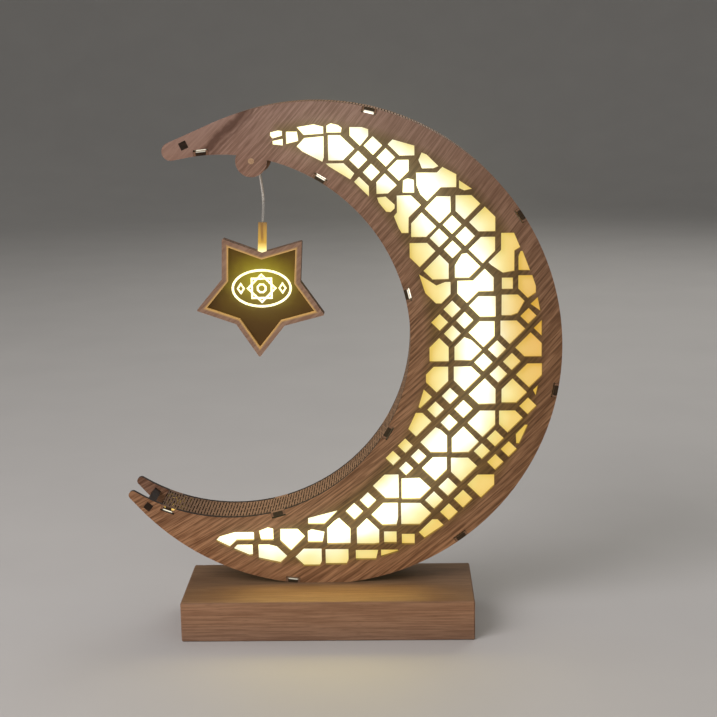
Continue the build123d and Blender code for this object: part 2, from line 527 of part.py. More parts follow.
with BuildPart() as lower_tip_peg:
    with BuildSketch(facing(REAR_Y)):
        with Locations(Location(LOWER_PEG_C, LOWER_PEG_ANGLE)):
            Rectangle(PEG, PEG)
    extrude(amount=BOX_D)
lower_tip_peg.part.label = "lower_tip_peg"
export_step(lower_tip_peg.part, "parts/lower_tip_peg.step")

# Hanger dowel: round rod between the two ears
with BuildPart() as hanger_dowel:
    with BuildSketch(facing(REAR_Y)):
        with Locations(EAR_C):
            Circle(DOWEL_D / 2)
    extrude(amount=BOX_D)
hanger_dowel.part.label = "hanger_dowel"
export_step(hanger_dowel.part, "parts/hanger_dowel.step")


# Cable feed: thin lead from inside the crescent, through the inner wall's slot and bent down over the dowel
WRAP_R = DOWEL_D / 2 + CABLE_REST + CABLE_D / 2
FEED_ANGLE = EAR_ANGLE - FEED_LEAN
FEED_BEND = polar(EAR_C, WRAP_R, FEED_ANGLE)
FEED_START = polar(FEED_BEND, FEED_RUN, FEED_ANGLE + 90)
FEED_END = (EAR_C[0] + WRAP_R, EAR_C[1] - FEED_DROP)
with BuildPart() as cable_feed:
    with BuildLine(facing(MID_Y)) as feed_path:
        Line(FEED_START, FEED_BEND)
        CenterArc(EAR_C, WRAP_R, FEED_ANGLE, -FEED_ANGLE)
        Line(polar(EAR_C, WRAP_R, 0), FEED_END)
    with BuildSketch(Plane(feed_path.line @ 0, z_dir=feed_path.line % 0)):
        Circle(CABLE_D / 2)
    sweep()
cable_feed.part.label = "cable_feed"
export_step(cable_feed.part, "parts/cable_feed.step")

# Hanging cable: a short link that swings below the dowel, then the free stretch, bowed a little, to the star
STAR_C = (FEED_END[0] + STAR_DX, EAR_C[1] - STAR_DROP)
TAIL_TOP = polar(STAR_C, STAR_NOTCH_R + TAIL_RISE, 90 + STAR_TILT)
BOW = (FEED_END[0] + CABLE_BOW, FEED_END[1] - CABLE_BOW_DROP)
CABLE_LEAN = bearing(FEED_END, BOW)
SWAY = polar(FEED_END, SWAY_DROP, CABLE_LEAN)
with BuildPart() as star_cable_top:
    with BuildLine(facing(MID_Y)) as top_path:
        Line(polar(FEED_END, LINK_GAP, CABLE_LEAN), polar(SWAY, -LINK_GAP / 2, CABLE_LEAN))
    with BuildSketch(Plane(top_path.line @ 0, z_dir=top_path.line % 0)):
        Circle(CABLE_D / 2)
    sweep()
star_cable_top.part.label = "star_cable_top"
export_step(star_cable_top.part, "parts/star_cable_top.step")

CABLE_START = polar(SWAY, LINK_GAP / 2, CABLE_LEAN)
CABLE_END = (TAIL_TOP[0], TAIL_TOP[1] + LINK_GAP / 2)
CABLE_TURN = abs(bearing(CABLE_START, BOW) - bearing(BOW, CABLE_END))
CABLE_RADIUS = 0.45 * min(dist(CABLE_START, BOW), dist(BOW, CABLE_END)) / tan(radians(CABLE_TURN / 2))
with BuildPart() as star_cable:
    with BuildLine(facing(MID_Y)) as cable_path:
        FilletPolyline(CABLE_START, BOW, CABLE_END, radius=CABLE_RADIUS)
    with BuildSketch(Plane(cable_path.line @ 0, z_dir=cable_path.line % 0)):
        Circle(CABLE_D / 2)
    sweep()
star_cable.part.label = "star_cable"
export_step(star_cable.part, "parts/star_cable.step")
CABLE_LENGTH = sum(edge.length for edge in cable_path.edges())
print("cable bend radii:", round(WRAP_R, 2), round(CABLE_RADIUS, 1), "free length:", round(CABLE_LENGTH, 1))
CABLE_SECTION = 0.7854 * CABLE_D**2
print("cable volume against section times length:", star_cable.part.volume, CABLE_LENGTH * CABLE_SECTION)

FRAME_FRONT_Y = MID_Y - STAR_PANEL_T / 2 - STAR_RING_T
PANEL_FRONT_Y = MID_Y - STAR_PANEL_T / 2
PANEL_REAR_Y = MID_Y + STAR_PANEL_T / 2
STAR_POINTS = []
for i in range(10):
    x, z = polar((0.0, 0.0), STAR_NOTCH_R if i % 2 else STAR_R, STAR_TILT - 90 + 36 * i)
    STAR_POINTS.append((STAR_C[0] + STAR_WIDEN * x, STAR_C[1] + z))


def star_ring():
    # Five-pointed outline on one point, with an even ring left round its edge.
    with BuildSketch() as ring:
        with BuildLine():
            Polyline(*STAR_POINTS, close=True)
        make_face()
        fillet(ring.vertices(), STAR_ROUND)
        with BuildLine(mode=Mode.PRIVATE) as inside:
            Polyline(*STAR_POINTS, close=True)
            offset(amount=-STAR_RING_W, kind=Kind.INTERSECTION, mode=Mode.REPLACE)
        make_face(inside.edges(), mode=Mode.SUBTRACT)
    return ring.sketch


# Star rings: wooden outlines on the front and the back of the panel
with BuildPart() as star_front_frame:
    with BuildSketch(facing(PANEL_FRONT_Y)):
        add(star_ring())
    extrude(amount=STAR_RING_T)
star_front_frame.part.label = "star_front_frame"
export_step(star_front_frame.part, "parts/star_front_frame.step")

with BuildPart() as star_rear_frame:
    with BuildSketch(facing(PANEL_REAR_Y + STAR_RING_T)):
        add(star_ring())
    extrude(amount=STAR_RING_T)
star_rear_frame.part.label = "star_rear_frame"
export_step(star_rear_frame.part, "parts/star_rear_frame.step")

# Star panel: tinted clear sheet between the rings, slotted at its top notch for the lit tail
NOTCH_C = polar(STAR_C, STAR_NOTCH_R, 90 + STAR_TILT)
TAIL_FOOT = polar(NOTCH_C, -TAIL_SEAT, 90 + STAR_TILT)
with BuildPart() as star_panel:
    with BuildSketch(facing(PANEL_REAR_Y)) as panel_face:
        with BuildLine():
            Polyline(*STAR_POINTS, close=True)
        make_face()
        fillet(panel_face.vertices(), STAR_ROUND)
        offset(amount=-STAR_PANEL_INSET, mode=Mode.REPLACE)
        with Locations(Location(polar(TAIL_FOOT, -TAIL_FIT, 90 + STAR_TILT), STAR_TILT)):
            Rectangle(
                TAIL_W + 2 * TAIL_FIT, 2 * TAIL_SEAT, align=(Align.CENTER, Align.MIN), mode=Mode.SUBTRACT
            )
    extrude(amount=STAR_PANEL_T)
star_panel.part.label = "star_panel"
export_step(star_panel.part, "parts/star_panel.step")

# Lit tail: stiff circuit strip that stands in the panel's slot against the rear ring and takes the cable
with BuildPart() as star_led_strip:
    with BuildSketch(facing(PANEL_REAR_Y)):
        with Locations(Location(TAIL_FOOT, STAR_TILT)):
            Rectangle(TAIL_W, TAIL_SEAT + TAIL_RISE - LINK_GAP / 2, align=(Align.CENTER, Align.MIN))
    extrude(amount=TAIL_T)
star_led_strip.part.label = "star_led_strip"
export_step(star_led_strip.part, "parts/star_led_strip.step")

# Tail LED: one package soldered to the front of the tail, above the notch
with BuildPart() as star_led:
    with BuildSketch(facing(PANEL_REAR_Y - TAIL_T)):
        with Locations(Location(polar(NOTCH_C, TAIL_LED_RISE, 90 + STAR_TILT), STAR_TILT)):
            Rectangle(TAIL_LED_W, TAIL_LED_H)
    extrude(amount=TAIL_LED_T)
star_led.part.label = "star_led"
export_step(star_led.part, "parts/star_led.step")
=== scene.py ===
from math import cos, radians, sin

import bmesh
import bpy
from mathutils import Matrix, Vector


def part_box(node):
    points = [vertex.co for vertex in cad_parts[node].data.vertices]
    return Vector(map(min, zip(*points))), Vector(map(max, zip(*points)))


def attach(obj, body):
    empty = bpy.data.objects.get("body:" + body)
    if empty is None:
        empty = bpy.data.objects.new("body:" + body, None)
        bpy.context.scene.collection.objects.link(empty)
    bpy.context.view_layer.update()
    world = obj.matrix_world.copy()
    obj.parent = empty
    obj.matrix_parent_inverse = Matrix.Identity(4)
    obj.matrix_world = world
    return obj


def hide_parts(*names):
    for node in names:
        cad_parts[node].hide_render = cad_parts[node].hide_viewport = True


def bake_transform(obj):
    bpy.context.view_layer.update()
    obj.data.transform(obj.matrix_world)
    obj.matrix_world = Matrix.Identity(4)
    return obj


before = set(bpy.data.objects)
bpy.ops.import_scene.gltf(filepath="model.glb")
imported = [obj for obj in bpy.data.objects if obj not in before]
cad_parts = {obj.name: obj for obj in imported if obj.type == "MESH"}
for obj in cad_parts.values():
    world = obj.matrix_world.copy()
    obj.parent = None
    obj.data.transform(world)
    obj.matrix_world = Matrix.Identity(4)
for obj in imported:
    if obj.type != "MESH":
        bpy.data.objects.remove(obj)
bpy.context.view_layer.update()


# Base block: one length of pale reddish hardwood, sawn square and sanded, with eased edges. The grain runs
# along it, and its top is darker than its sides. The front panel stands in a slot in the top, the rear one
# in a rebate.
GRAIN_STRETCH = (0.035, 1.0, 1.0)
NOISE_LIMITS = (0.3, 0.7)
STREAK_LIMITS = (0.40, 0.60)
BROAD_SCALE = 0.16
BROAD_LIMITS = (0.42, 0.75)
BROAD_MOST = 0.45
PORE_SCALE = 3.7
PORE_LIMITS = (0.56, 0.74)
PORE_MOST = 0.5
PIT_LIMITS = (0.5, 0.75)
PIT_DEPTH = 0.00012
PIT_STRENGTH = 0.35
SANDED = (0.62, 0.46)
BASE_TONES = ((0.34, 0.20, 0.125), (0.215, 0.115, 0.068), (0.11, 0.055, 0.032))
TOP_FACING = (0.6, 0.9)
TOP_TONE = (0.78, 0.79, 0.68, 1.0)


def add_node(tree, kind, inputs=None, **settings):
    # A node with its inputs set to values or joined to the outputs of other nodes.
    node = tree.nodes.new(kind)
    for name, value in settings.items():
        setattr(node, name, value)
    for socket, value in (inputs or {}).items():
        if isinstance(value, bpy.types.NodeSocket):
            tree.links.new(value, node.inputs[socket])
        else:
            node.inputs[socket].default_value = value
    return node


def new_material(name, **constants):
    made = bpy.data.materials.new(name)
    made.use_nodes = True
    shader = made.node_tree.nodes["Principled BSDF"]
    for socket, value in constants.items():
        shader.inputs[socket.replace("_", " ")].default_value = value
    return made, made.node_tree, shader


def feed(shader, **looks):
    for socket, output in looks.items():
        shader.id_data.links.new(output, shader.inputs[socket.replace("_", " ")])


def new_group(name, inputs, outputs):
    group = bpy.data.node_groups.new(name, "ShaderNodeTree")
    for side, sockets in (("INPUT", inputs), ("OUTPUT", outputs)):
        for socket, kind in sockets.items():
            group.interface.new_socket(socket, in_out=side, socket_type=kind)
    return group, add_node(group, "NodeGroupInput").outputs, add_node(group, "NodeGroupOutput")


def object_place(tree):
    return add_node(tree, "ShaderNodeTexCoord").outputs["Object"]


def split(tree, vector):
    return add_node(tree, "ShaderNodeSeparateXYZ", {0: vector}).outputs


def work_out(tree, operation, first, second=0.0):
    return add_node(tree, "ShaderNodeMath", {0: first, 1: second}, operation=operation).outputs[0]


def move(tree, operation, vector, by):
    return add_node(tree, "ShaderNodeVectorMath", {0: vector, 1: by}, operation=operation).outputs[0]


def noise(tree, place, scale, detail=2.0):
    inputs = {"Vector": place, "Scale": scale, "Detail": detail}
    return add_node(tree, "ShaderNodeTexNoise", inputs).outputs[0]


def remap(tree, value, low, high, to_low=0.0, to_high=1.0):
    limits = {"From Min": low, "From Max": high, "To Min": to_low, "To Max": to_high}
    return add_node(tree, "ShaderNodeMapRange", {"Value": value, **limits}).outputs["Result"]


def blend_colours(tree, share, first, second, mode="MIX"):
    inputs = {0: share, 6: first, 7: second}
    return add_node(tree, "ShaderNodeMix", inputs, data_type="RGBA", blend_type=mode).outputs[2]


def dress(made, *nodes):
    for name in nodes:
        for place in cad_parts[name].material_slots:
            place.material = made


wood_grain, grain_in, grain_out = new_group(
    "wood_grain",
    {
        "Vector": "NodeSocketVector",
        "Ground": "NodeSocketColor",
        "Streak": "NodeSocketColor",
        "Pore": "NodeSocketColor",
        "Streaks per metre": "NodeSocketFloat",
        "Streak share": "NodeSocketFloat",
    },
    {"Color": "NodeSocketColor", "Roughness": "NodeSocketFloat", "Height": "NodeSocketFloat"},
)
grain_scale = {0: grain_in["Vector"], "Scale": grain_in["Streaks per metre"]}
grain_run = add_node(wood_grain, "ShaderNodeVectorMath", grain_scale, operation="SCALE").outputs[0]
grain_run = move(wood_grain, "MULTIPLY", grain_run, GRAIN_STRETCH)
streak_noise = noise(wood_grain, grain_run, 1.0, detail=4.0)
broad_noise = noise(wood_grain, grain_run, BROAD_SCALE)
pore_noise = noise(wood_grain, grain_run, PORE_SCALE)
streak_share = remap(wood_grain, streak_noise, *STREAK_LIMITS)
streak_share = work_out(wood_grain, "MULTIPLY", streak_share, grain_in["Streak share"])
broad_share = remap(wood_grain, broad_noise, *BROAD_LIMITS, 0.0, BROAD_MOST)
pore_share = remap(wood_grain, pore_noise, *PORE_LIMITS, 0.0, PORE_MOST)
grain_colour = blend_colours(wood_grain, streak_share, grain_in["Ground"], grain_in["Streak"])
grain_colour = blend_colours(wood_grain, broad_share, grain_colour, grain_in["Streak"])
grain_colour = blend_colours(wood_grain, pore_share, grain_colour, grain_in["Pore"])
feed(
    grain_out,
    Color=grain_colour,
    Roughness=remap(wood_grain, streak_noise, *NOISE_LIMITS, *SANDED),
    Height=remap(wood_grain, pore_noise, *PIT_LIMITS, 1.0, 0.0),
)


def grain_along(tree, run, tones, streaks, share):
    inputs = {"Vector": run, "Streaks per metre": streaks, "Streak share": share}
    for socket, tone in zip(("Ground", "Streak", "Pore"), tones):
        inputs[socket] = (*tone, 1.0)
    return add_node(tree, "ShaderNodeGroup", inputs, node_tree=wood_grain).outputs


def wood(name, tones, streaks, share, run=None):
    # Wood whose grain follows X of the place that run works out, or the object's own X.
    made, tree, shader = new_material(name, Specular_IOR_Level=0.15)
    place = object_place(tree)
    along = run(tree, place) if run else place
    grain = grain_along(tree, along, tones, streaks, share)
    pits = {"Height": grain["Height"], "Strength": PIT_STRENGTH, "Distance": PIT_DEPTH}
    normal = add_node(tree, "ShaderNodeBump", pits).outputs["Normal"]
    feed(shader, Base_Color=grain["Color"], Roughness=grain["Roughness"], Normal=normal)
    return made, tree, shader, grain["Color"], along


base_timber, base_tree, base_shader, base_colour = wood(
    "base_timber", BASE_TONES, streaks=900.0, share=0.8
)[:4]
upward = split(base_tree, add_node(base_tree, "ShaderNodeTexCoord").outputs["Normal"])["Z"]
top_share = remap(base_tree, upward, *TOP_FACING)
feed(base_shader, Base_Color=blend_colours(base_tree, top_share, base_colour, TOP_TONE, "MULTIPLY"))
dress(base_timber, "base_block")


# Front and rear panels: 3 mm plywood faced with walnut veneer, cut by laser. Cut edges are scorched, or
# golden where light comes through the front panel's lattice. The grain sweeps up to the right, with a dark
# streak across the front's upper horn, and smoke from the cutting has browned the lattice's thin bars.
FROM_FRONT = (1.0, 0.0, 1.0)
OUTER_CENTRE = Vector((-0.006, 0.0, 0.194))
OUTER_RADIUS = 0.167
INNER_CENTRE = Vector((-0.067, 0.0, 0.2017))
INNER_RADIUS = 0.1255
LATTICE_RIMS = (0.0110, 0.0090)
LATTICE_END_AT = -0.0891
LATTICE_END_LEAN = 0.1663
SOOT_FADE = 0.007
SOOT = (0.62, 0.64, 0.375, 1.0)
# Painted light: the front is brightened by height, warmer at the bottom as if lit from below and bluer at
# the top as if lit from above
LIGHT_CAST_HEIGHTS = (0.03, 0.36)
LIGHT_CAST_STOPS = (
    (0.00, (1.52, 1.43, 1.08)),
    (0.14, (1.18, 1.18, 1.00)),
    (0.50, (1.17, 1.16, 0.97)),
    (0.82, (1.10, 1.16, 1.25)),
    (1.00, (1.26, 1.50, 1.84)),
)
# Painted shade: the front darkens and warms towards the right
RIGHT_SHADE_FROM = (0.0, 0.15)
RIGHT_SHADE = (0.82, 0.80, 0.76, 1.0)
GRAIN_CENTRE = (-0.519, 0.0, 0.794)
GRAIN_RADIUS = 0.66
FRONT_TONES = ((0.35, 0.197, 0.130), (0.145, 0.068, 0.040), (0.070, 0.030, 0.017))
FRONT_SHIFT = (0.0, 0.0, 0.0)
REAR_TONES = ((0.32, 0.18, 0.115), (0.14, 0.066, 0.039), (0.070, 0.030, 0.017))
REAR_SHIFT = (0.4, 0.3, 0.7)
VESSEL_STRETCH = (0.07, 1.0, 1.0)
VESSELS_PER_METRE = 1300.0
VESSEL_LIMITS = (0.50, 0.60)
VESSEL = (0.66, 0.60, 0.56, 1.0)
RIPPLES_PER_METRE = 60.0
RIPPLE = 0.0020
HEART_STREAK_AT = 0.6424
HEART_CORE = 0.3
HEART_DARK = (0.085, 0.036, 0.021, 1.0)
HEART_LINES = (
    # distance across the grain from the streak, half width, strength
    (-0.0006, 0.0034, 0.85),
    (0.0042, 0.0017, 0.55),
)
TIP_WOOD_FROM = (0.003, 0.007)
TIP_WOOD_MOST = 0.5
TIP_WOOD = (0.30, 0.168, 0.112, 1.0)
TOP_WOOD_HEIGHTS = (0.22, 0.34)
TOP_WOOD_MOST = 0.45
TOP_WOOD = (0.265, 0.142, 0.090, 1.0)
CUT_FACING = (0.35, 0.65)
SCORCH = (0.022, 0.012, 0.007, 1.0)
LIT_CUT = (0.32, 0.20, 0.035, 1.0)
LIT_CUT_DEPTHS = (0.0060, 0.0075)

cut_edges, edge_in, edge_out = new_group(
    "scorched_edges",
    {"Color": "NodeSocketColor", "Scorch": "NodeSocketColor"},
    {"Color": "NodeSocketColor"},
)
face_depth = split(cut_edges, add_node(cut_edges, "ShaderNodeTexCoord").outputs["Normal"])["Y"]
edge_share = remap(cut_edges, work_out(cut_edges, "ABSOLUTE", face_depth), *CUT_FACING, 1.0, 0.0)
feed(edge_out, Color=blend_colours(cut_edges, edge_share, edge_in["Color"], edge_in["Scorch"]))


def flat_offset(tree, place, spot, stretch=FROM_FRONT):
    # Way from a spot to a place as seen from the front, each axis stretched by its own share.
    return move(tree, "MULTIPLY", move(tree, "SUBTRACT", place, spot), stretch)


def length_of(tree, vector):
    return add_node(tree, "ShaderNodeVectorMath", {0: vector}, operation="LENGTH").outputs["Value"]


def distance_from(tree, place, spot, stretch=FROM_FRONT):
    return length_of(tree, flat_offset(tree, place, spot, stretch))


def swept_grain(shift):
    # Grain along wide circles round a far point, moved on by a shift so that each sheet shows other wood.
    def run(tree, place):
        way = split(tree, flat_offset(tree, place, GRAIN_CENTRE))
        turn = work_out(tree, "ARCTAN2", way["Z"], way["X"])
        length = work_out(tree, "MULTIPLY", turn, GRAIN_RADIUS)
        depth = split(tree, place)["Y"]
        across = distance_from(tree, place, GRAIN_CENTRE)
        swept = add_node(tree, "ShaderNodeCombineXYZ", {"X": length, "Y": depth, "Z": across}).outputs[0]
        return move(tree, "ADD", swept, shift)

    return run


def depth_in_crescent(tree, place, outer_rim=0.0, inner_rim=0.0):
    # How far a place lies inside the nearer of the crescent's two edges, or of its rims' edges.
    from_outer = distance_from(tree, place, OUTER_CENTRE)
    from_inner = distance_from(tree, place, INNER_CENTRE)
    to_outer = work_out(tree, "SUBTRACT", OUTER_RADIUS - outer_rim, from_outer)
    to_inner = work_out(tree, "SUBTRACT", from_inner, INNER_RADIUS + inner_rim)
    return work_out(tree, "MINIMUM", to_outer, to_inner)


def lattice_share(tree, place):
    # One on the lattice and nought on the rims and the horns beyond its ends.
    way = split(tree, place)
    lean = work_out(tree, "MULTIPLY", way["Z"], LATTICE_END_LEAN)
    to_end = work_out(tree, "SUBTRACT", work_out(tree, "SUBTRACT", way["X"], lean), LATTICE_END_AT)
    nearest = work_out(tree, "MINIMUM", depth_in_crescent(tree, place, *LATTICE_RIMS), to_end)
    return remap(tree, nearest, 0.0, SOOT_FADE)


def ramp(tree, share, stops):
    node = add_node(tree, "ShaderNodeValToRGB", {"Fac": share})
    elements = node.color_ramp.elements
    while len(elements) < len(stops):
        elements.new(0.5)
    for element, (at, colour) in zip(elements, stops):
        element.position = at
        element.color = (*colour, 1.0)
    return node.outputs["Color"]


def veneer(name, tones, shift):
    # Swept grain with the fine dark lines of the wood's vessels.
    made, tree, shader, colour, along = wood(name, tones, streaks=600.0, share=0.9, run=swept_grain(shift))
    vessels = noise(tree, move(tree, "MULTIPLY", along, VESSEL_STRETCH), VESSELS_PER_METRE, detail=1.0)
    colour = blend_colours(tree, remap(tree, vessels, *VESSEL_LIMITS), colour, VESSEL, "MULTIPLY")
    return made, tree, shader, colour, along


def scorched(tree, colour, scorch):
    inputs = {"Color": colour, "Scorch": scorch}
    return add_node(tree, "ShaderNodeGroup", inputs, node_tree=cut_edges).outputs["Color"]


def heartwood(tree, along, height, colour):
    # Plainer wood towards the top, paler wood beyond the dark streak, and the streak's two lines.
    ripple = noise(tree, along, RIPPLES_PER_METRE, detail=3.0)
    ripple = remap(tree, ripple, *NOISE_LIMITS, -RIPPLE, RIPPLE)
    across = work_out(tree, "ADD", split(tree, along)["Z"], ripple)
    plain = remap(tree, height, *TOP_WOOD_HEIGHTS, 0.0, TOP_WOOD_MOST)
    colour = blend_colours(tree, plain, colour, TOP_WOOD)
    tip_from, tip_full = (HEART_STREAK_AT - beyond for beyond in TIP_WOOD_FROM)
    tip_share = remap(tree, across, tip_from, tip_full, 0.0, TIP_WOOD_MOST)
    colour = blend_colours(tree, tip_share, colour, TIP_WOOD)
    for aside, half, strength in HEART_LINES:
        offset = work_out(tree, "SUBTRACT", across, HEART_STREAK_AT + aside)
        heart = remap(tree, work_out(tree, "ABSOLUTE", offset), HEART_CORE * half, half, strength, 0.0)
        colour = blend_colours(tree, heart, colour, HEART_DARK)
    return colour


front_veneer, front_tree, front_shader, front_colour, front_along = veneer(
    "front_veneer", FRONT_TONES, FRONT_SHIFT
)
front_place = object_place(front_tree)
front_spot = split(front_tree, front_place)
front_colour = heartwood(front_tree, front_along, front_spot["Z"], front_colour)
# Painted light: warm and bright low on the front, cooler and bluer at the top
painted_light_cast = ramp(front_tree, remap(front_tree, front_spot["Z"], *LIGHT_CAST_HEIGHTS), LIGHT_CAST_STOPS)
# Painted shade towards the right of the front
right_shade_share = remap(front_tree, front_spot["X"], *RIGHT_SHADE_FROM)
soot_share = lattice_share(front_tree, front_place)
for share, tint in ((1.0, painted_light_cast), (right_shade_share, RIGHT_SHADE), (soot_share, SOOT)):
    front_colour = blend_colours(front_tree, share, front_colour, tint, "MULTIPLY")
inside = remap(front_tree, depth_in_crescent(front_tree, front_place), *LIT_CUT_DEPTHS)
front_scorch = blend_colours(front_tree, inside, SCORCH, LIT_CUT)
feed(front_shader, Base_Color=scorched(front_tree, front_colour, front_scorch))
dress(front_veneer, "front_panel")

rear_veneer, rear_tree, rear_shader, rear_colour = veneer("rear_veneer", REAR_TONES, REAR_SHIFT)[:4]
feed(rear_shader, Base_Color=scorched(rear_tree, rear_colour, SCORCH))
dress(rear_veneer, "rear_panel")


# Inner and outer walls: the same plywood, cut with rows of fine staggered slits across the grain so that it
# bends round the crescent. Tabs along both edges sit in the panels' notches, their ends charred in the
# middle. Light leaks past some and shows white on their ends, and golden in the slits near the lower horn.
SHEET = 0.003
BOX_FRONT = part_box("front_panel")[0][1]
BOX_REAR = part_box("rear_panel")[1][1]
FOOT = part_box("base_block")[1][2]
SLIT_PITCH = 0.0021
SLIT_WIDTH = 0.0007
SLIT_ROWS = (0.0, 0.003, 0.0042, 0.0088, 0.0105, 0.0171, 0.0199, 0.0265, 0.0282, 0.0328, 0.034, 0.037)
LONG_SLITS = (2, 3, 4, 6, 7, 8)
STAGGERED_SLITS = (1, 2, 4, 5, 6, 8, 9)
TAB_WIDTH = 0.0096
OUTER_TABS = [76.4 - 43.3 * i for i in range(5)]
OUTER_ENDS = (-125.84, 108.18)
INNER_TABS = (95.32, 58.475, 13.808, -30.86, -75.32, -110.52)
INNER_ENDS = (-113.076, 97.876)
CABLE_SLOT_AT = 80.006
CABLE_SLOT_LONG = 0.010
CABLE_ROW = 5
SLOT_END_LAND = 0.6 * SLIT_PITCH
BENT_TONES = ((0.40, 0.225, 0.115), (0.22, 0.112, 0.052), (0.09, 0.042, 0.02))
# Painted shade: the walls darken towards their left ends, where they end in the horns
PAINTED_SHADE_ENDS = (-0.118, -0.060)
PAINTED_SHADE_MOST = 0.9
PAINTED_SHADE = (0.30, 0.27, 0.25, 1.0)
SOOT_PER_METRE = 900.0
SOOT_LIMITS = (0.35, 0.65)
CUT_ROUGHNESS = (0.65, 0.85)
CHAR = (0.014, 0.008, 0.005, 1.0)
THIN_CHAR = (0.05, 0.026, 0.014, 1.0)
END_FACE = (0.0006, 0.0002)
CHARRED_HALF = 0.0034
CHARRED_FADE = 0.0003
TAB_WOOD = (0.21, 0.115, 0.072, 1.0)
LEAK_IN = 0.0035
OUTER_LEAKS = ((0, 0.9), (4, 0.45))
INNER_LEAKS = ((0, 0.4), (1, 1.0), (2, 0.8), (5, 0.8))
LIT_NOTCH_HALF = 0.0029
LIT_NOTCH_FADE = 0.0008
LIT_END_DEPTHS = (0.0002, 0.0008)
LIT_END_FROM_EDGE = (0.0021, 0.0025)
LEAK = (0.90, 0.84, 0.68, 1.0)
GLINT_SPOT = (-0.107, 0.0, 0.082)
GLINT_REACH = (0.004, 0.009)
GLINTS_PER_METRE = 420.0
GLINT_LIMITS = (0.58, 0.66)
GLINT = (0.70, 0.44, 0.10, 1.0)
BLACK = (0.0, 0.0, 0.0, 1.0)


def wall_columns(ends, radius, tabs):
    # Edges of the columns along the arc, and what each column is: land or one of two slits, on a tab or not.
    bounds, on_tab = [radians(ends[0]) * radius], []
    for tab in sorted(radians(angle) * radius for angle in tabs):
        bounds += [tab - TAB_WIDTH / 2, tab + TAB_WIDTH / 2]
        on_tab += [False, True]
    bounds.append(radians(ends[1]) * radius)
    on_tab.append(False)
    edges, kinds = bounds[:1], []
    for low, high, tab in zip(bounds, bounds[1:], on_tab):
        count = max(round((high - low) / SLIT_PITCH), 1)
        step = (high - low) / count
        for i in range(count):
            edges += [low + step * i + (step - SLIT_WIDTH) / 2, low + step * i + (step + SLIT_WIDTH) / 2]
            kinds += [("land", tab), ("slit" if i % 2 else "staggered", tab)]
        edges.append(high)
        kinds.append(("land", tab))
    return edges, kinds


def place_mesh(name, mesh):
    data = bpy.data.meshes.new(name)
    mesh.to_mesh(data)
    mesh.free()
    piece = bpy.data.objects.new(name, data)
    bpy.context.collection.objects.link(piece)
    return piece


def kerfed_wall(name, centre, radius, grow, ends, tabs, cable_at=None):
    # A flat grid whose X and Y count columns and rows, cut, rolled round the arc and given its thickness.
    edges, kinds = wall_columns(ends, radius, tabs)
    columns, rows = len(kinds), len(SLIT_ROWS) - 1
    mesh = bmesh.new()
    bmesh.ops.create_grid(mesh, x_segments=columns, y_segments=rows, size=0.5)
    bmesh.ops.translate(mesh, vec=(0.5, 0.5, 0.0), verts=mesh.verts[:])
    bmesh.ops.scale(mesh, vec=(columns, rows, 1.0), verts=mesh.verts[:])
    cut = []
    for face in mesh.faces:
        middle = face.calc_center_median()
        column, row = int(middle.x), int(middle.y)
        kind, tab = kinds[column]
        outside = row in (0, rows - 1) and not tab
        slit = (kind == "slit" and row in LONG_SLITS) or (kind == "staggered" and row in STAGGERED_SLITS)
        at = (edges[column] + edges[column + 1]) / 2
        slot_half = CABLE_SLOT_LONG / 2 - (SLOT_END_LAND if kind == "land" else 0.0)
        cable = cable_at is not None and row == CABLE_ROW and abs(at - cable_at) < slot_half
        if outside or slit or cable:
            cut.append(face)
    bmesh.ops.delete(mesh, geom=cut, context="FACES")
    lay = mesh.loops.layers.uv.new("along_and_across")
    for face in mesh.faces:
        for corner in face.loops:
            spot = corner.vert.co
            corner[lay].uv = (edges[round(spot.x)], SLIT_ROWS[round(spot.y)])
    for vert in mesh.verts:
        angle = edges[round(vert.co.x)] / radius
        depth = BOX_FRONT + SLIT_ROWS[round(vert.co.y)]
        vert.co = centre + Vector((radius * cos(angle), depth, radius * sin(angle)))
    thick = bmesh.ops.extrude_face_region(mesh, geom=mesh.faces[:])["geom"]
    thick = [part for part in thick if isinstance(part, bmesh.types.BMVert)]
    share = 1.0 + grow / radius
    bmesh.ops.scale(mesh, vec=(share, 1.0, share), space=Matrix.Translation(-centre), verts=thick)
    for vert in mesh.verts:
        vert.co.z = max(vert.co.z, FOOT)
    bmesh.ops.recalc_face_normals(mesh, faces=mesh.faces[:])
    for face in mesh.faces:
        out = (face.calc_center_median() - centre) * Vector(FROM_FRONT)
        faces_out = abs(face.normal.dot(out.normalized())) > 0.5
        face.material_index = 0 if faces_out else 1
    return place_mesh(name, mesh)


def on_arc(centre, reach, angle):
    return centre + reach * Vector((cos(radians(angle)), 0.0, sin(radians(angle))))


bent_face, bent_tree, bent_shader = new_material("bent_veneer", Specular_IOR_Level=0.25)
bent_run = add_node(bent_tree, "ShaderNodeUVMap", uv_map="along_and_across").outputs["UV"]
bent_grain = grain_along(bent_tree, bent_run, BENT_TONES, streaks=420.0, share=0.7)
# Painted shade, darker towards the walls' left ends in the horns
painted_shade_share = remap(bent_tree, split(bent_tree, object_place(bent_tree))["X"], *PAINTED_SHADE_ENDS, PAINTED_SHADE_MOST, 0.0)
feed(
    bent_shader,
    Base_Color=blend_colours(bent_tree, painted_shade_share, bent_grain["Color"], PAINTED_SHADE, "MULTIPLY"),
    Roughness=bent_grain["Roughness"],
)

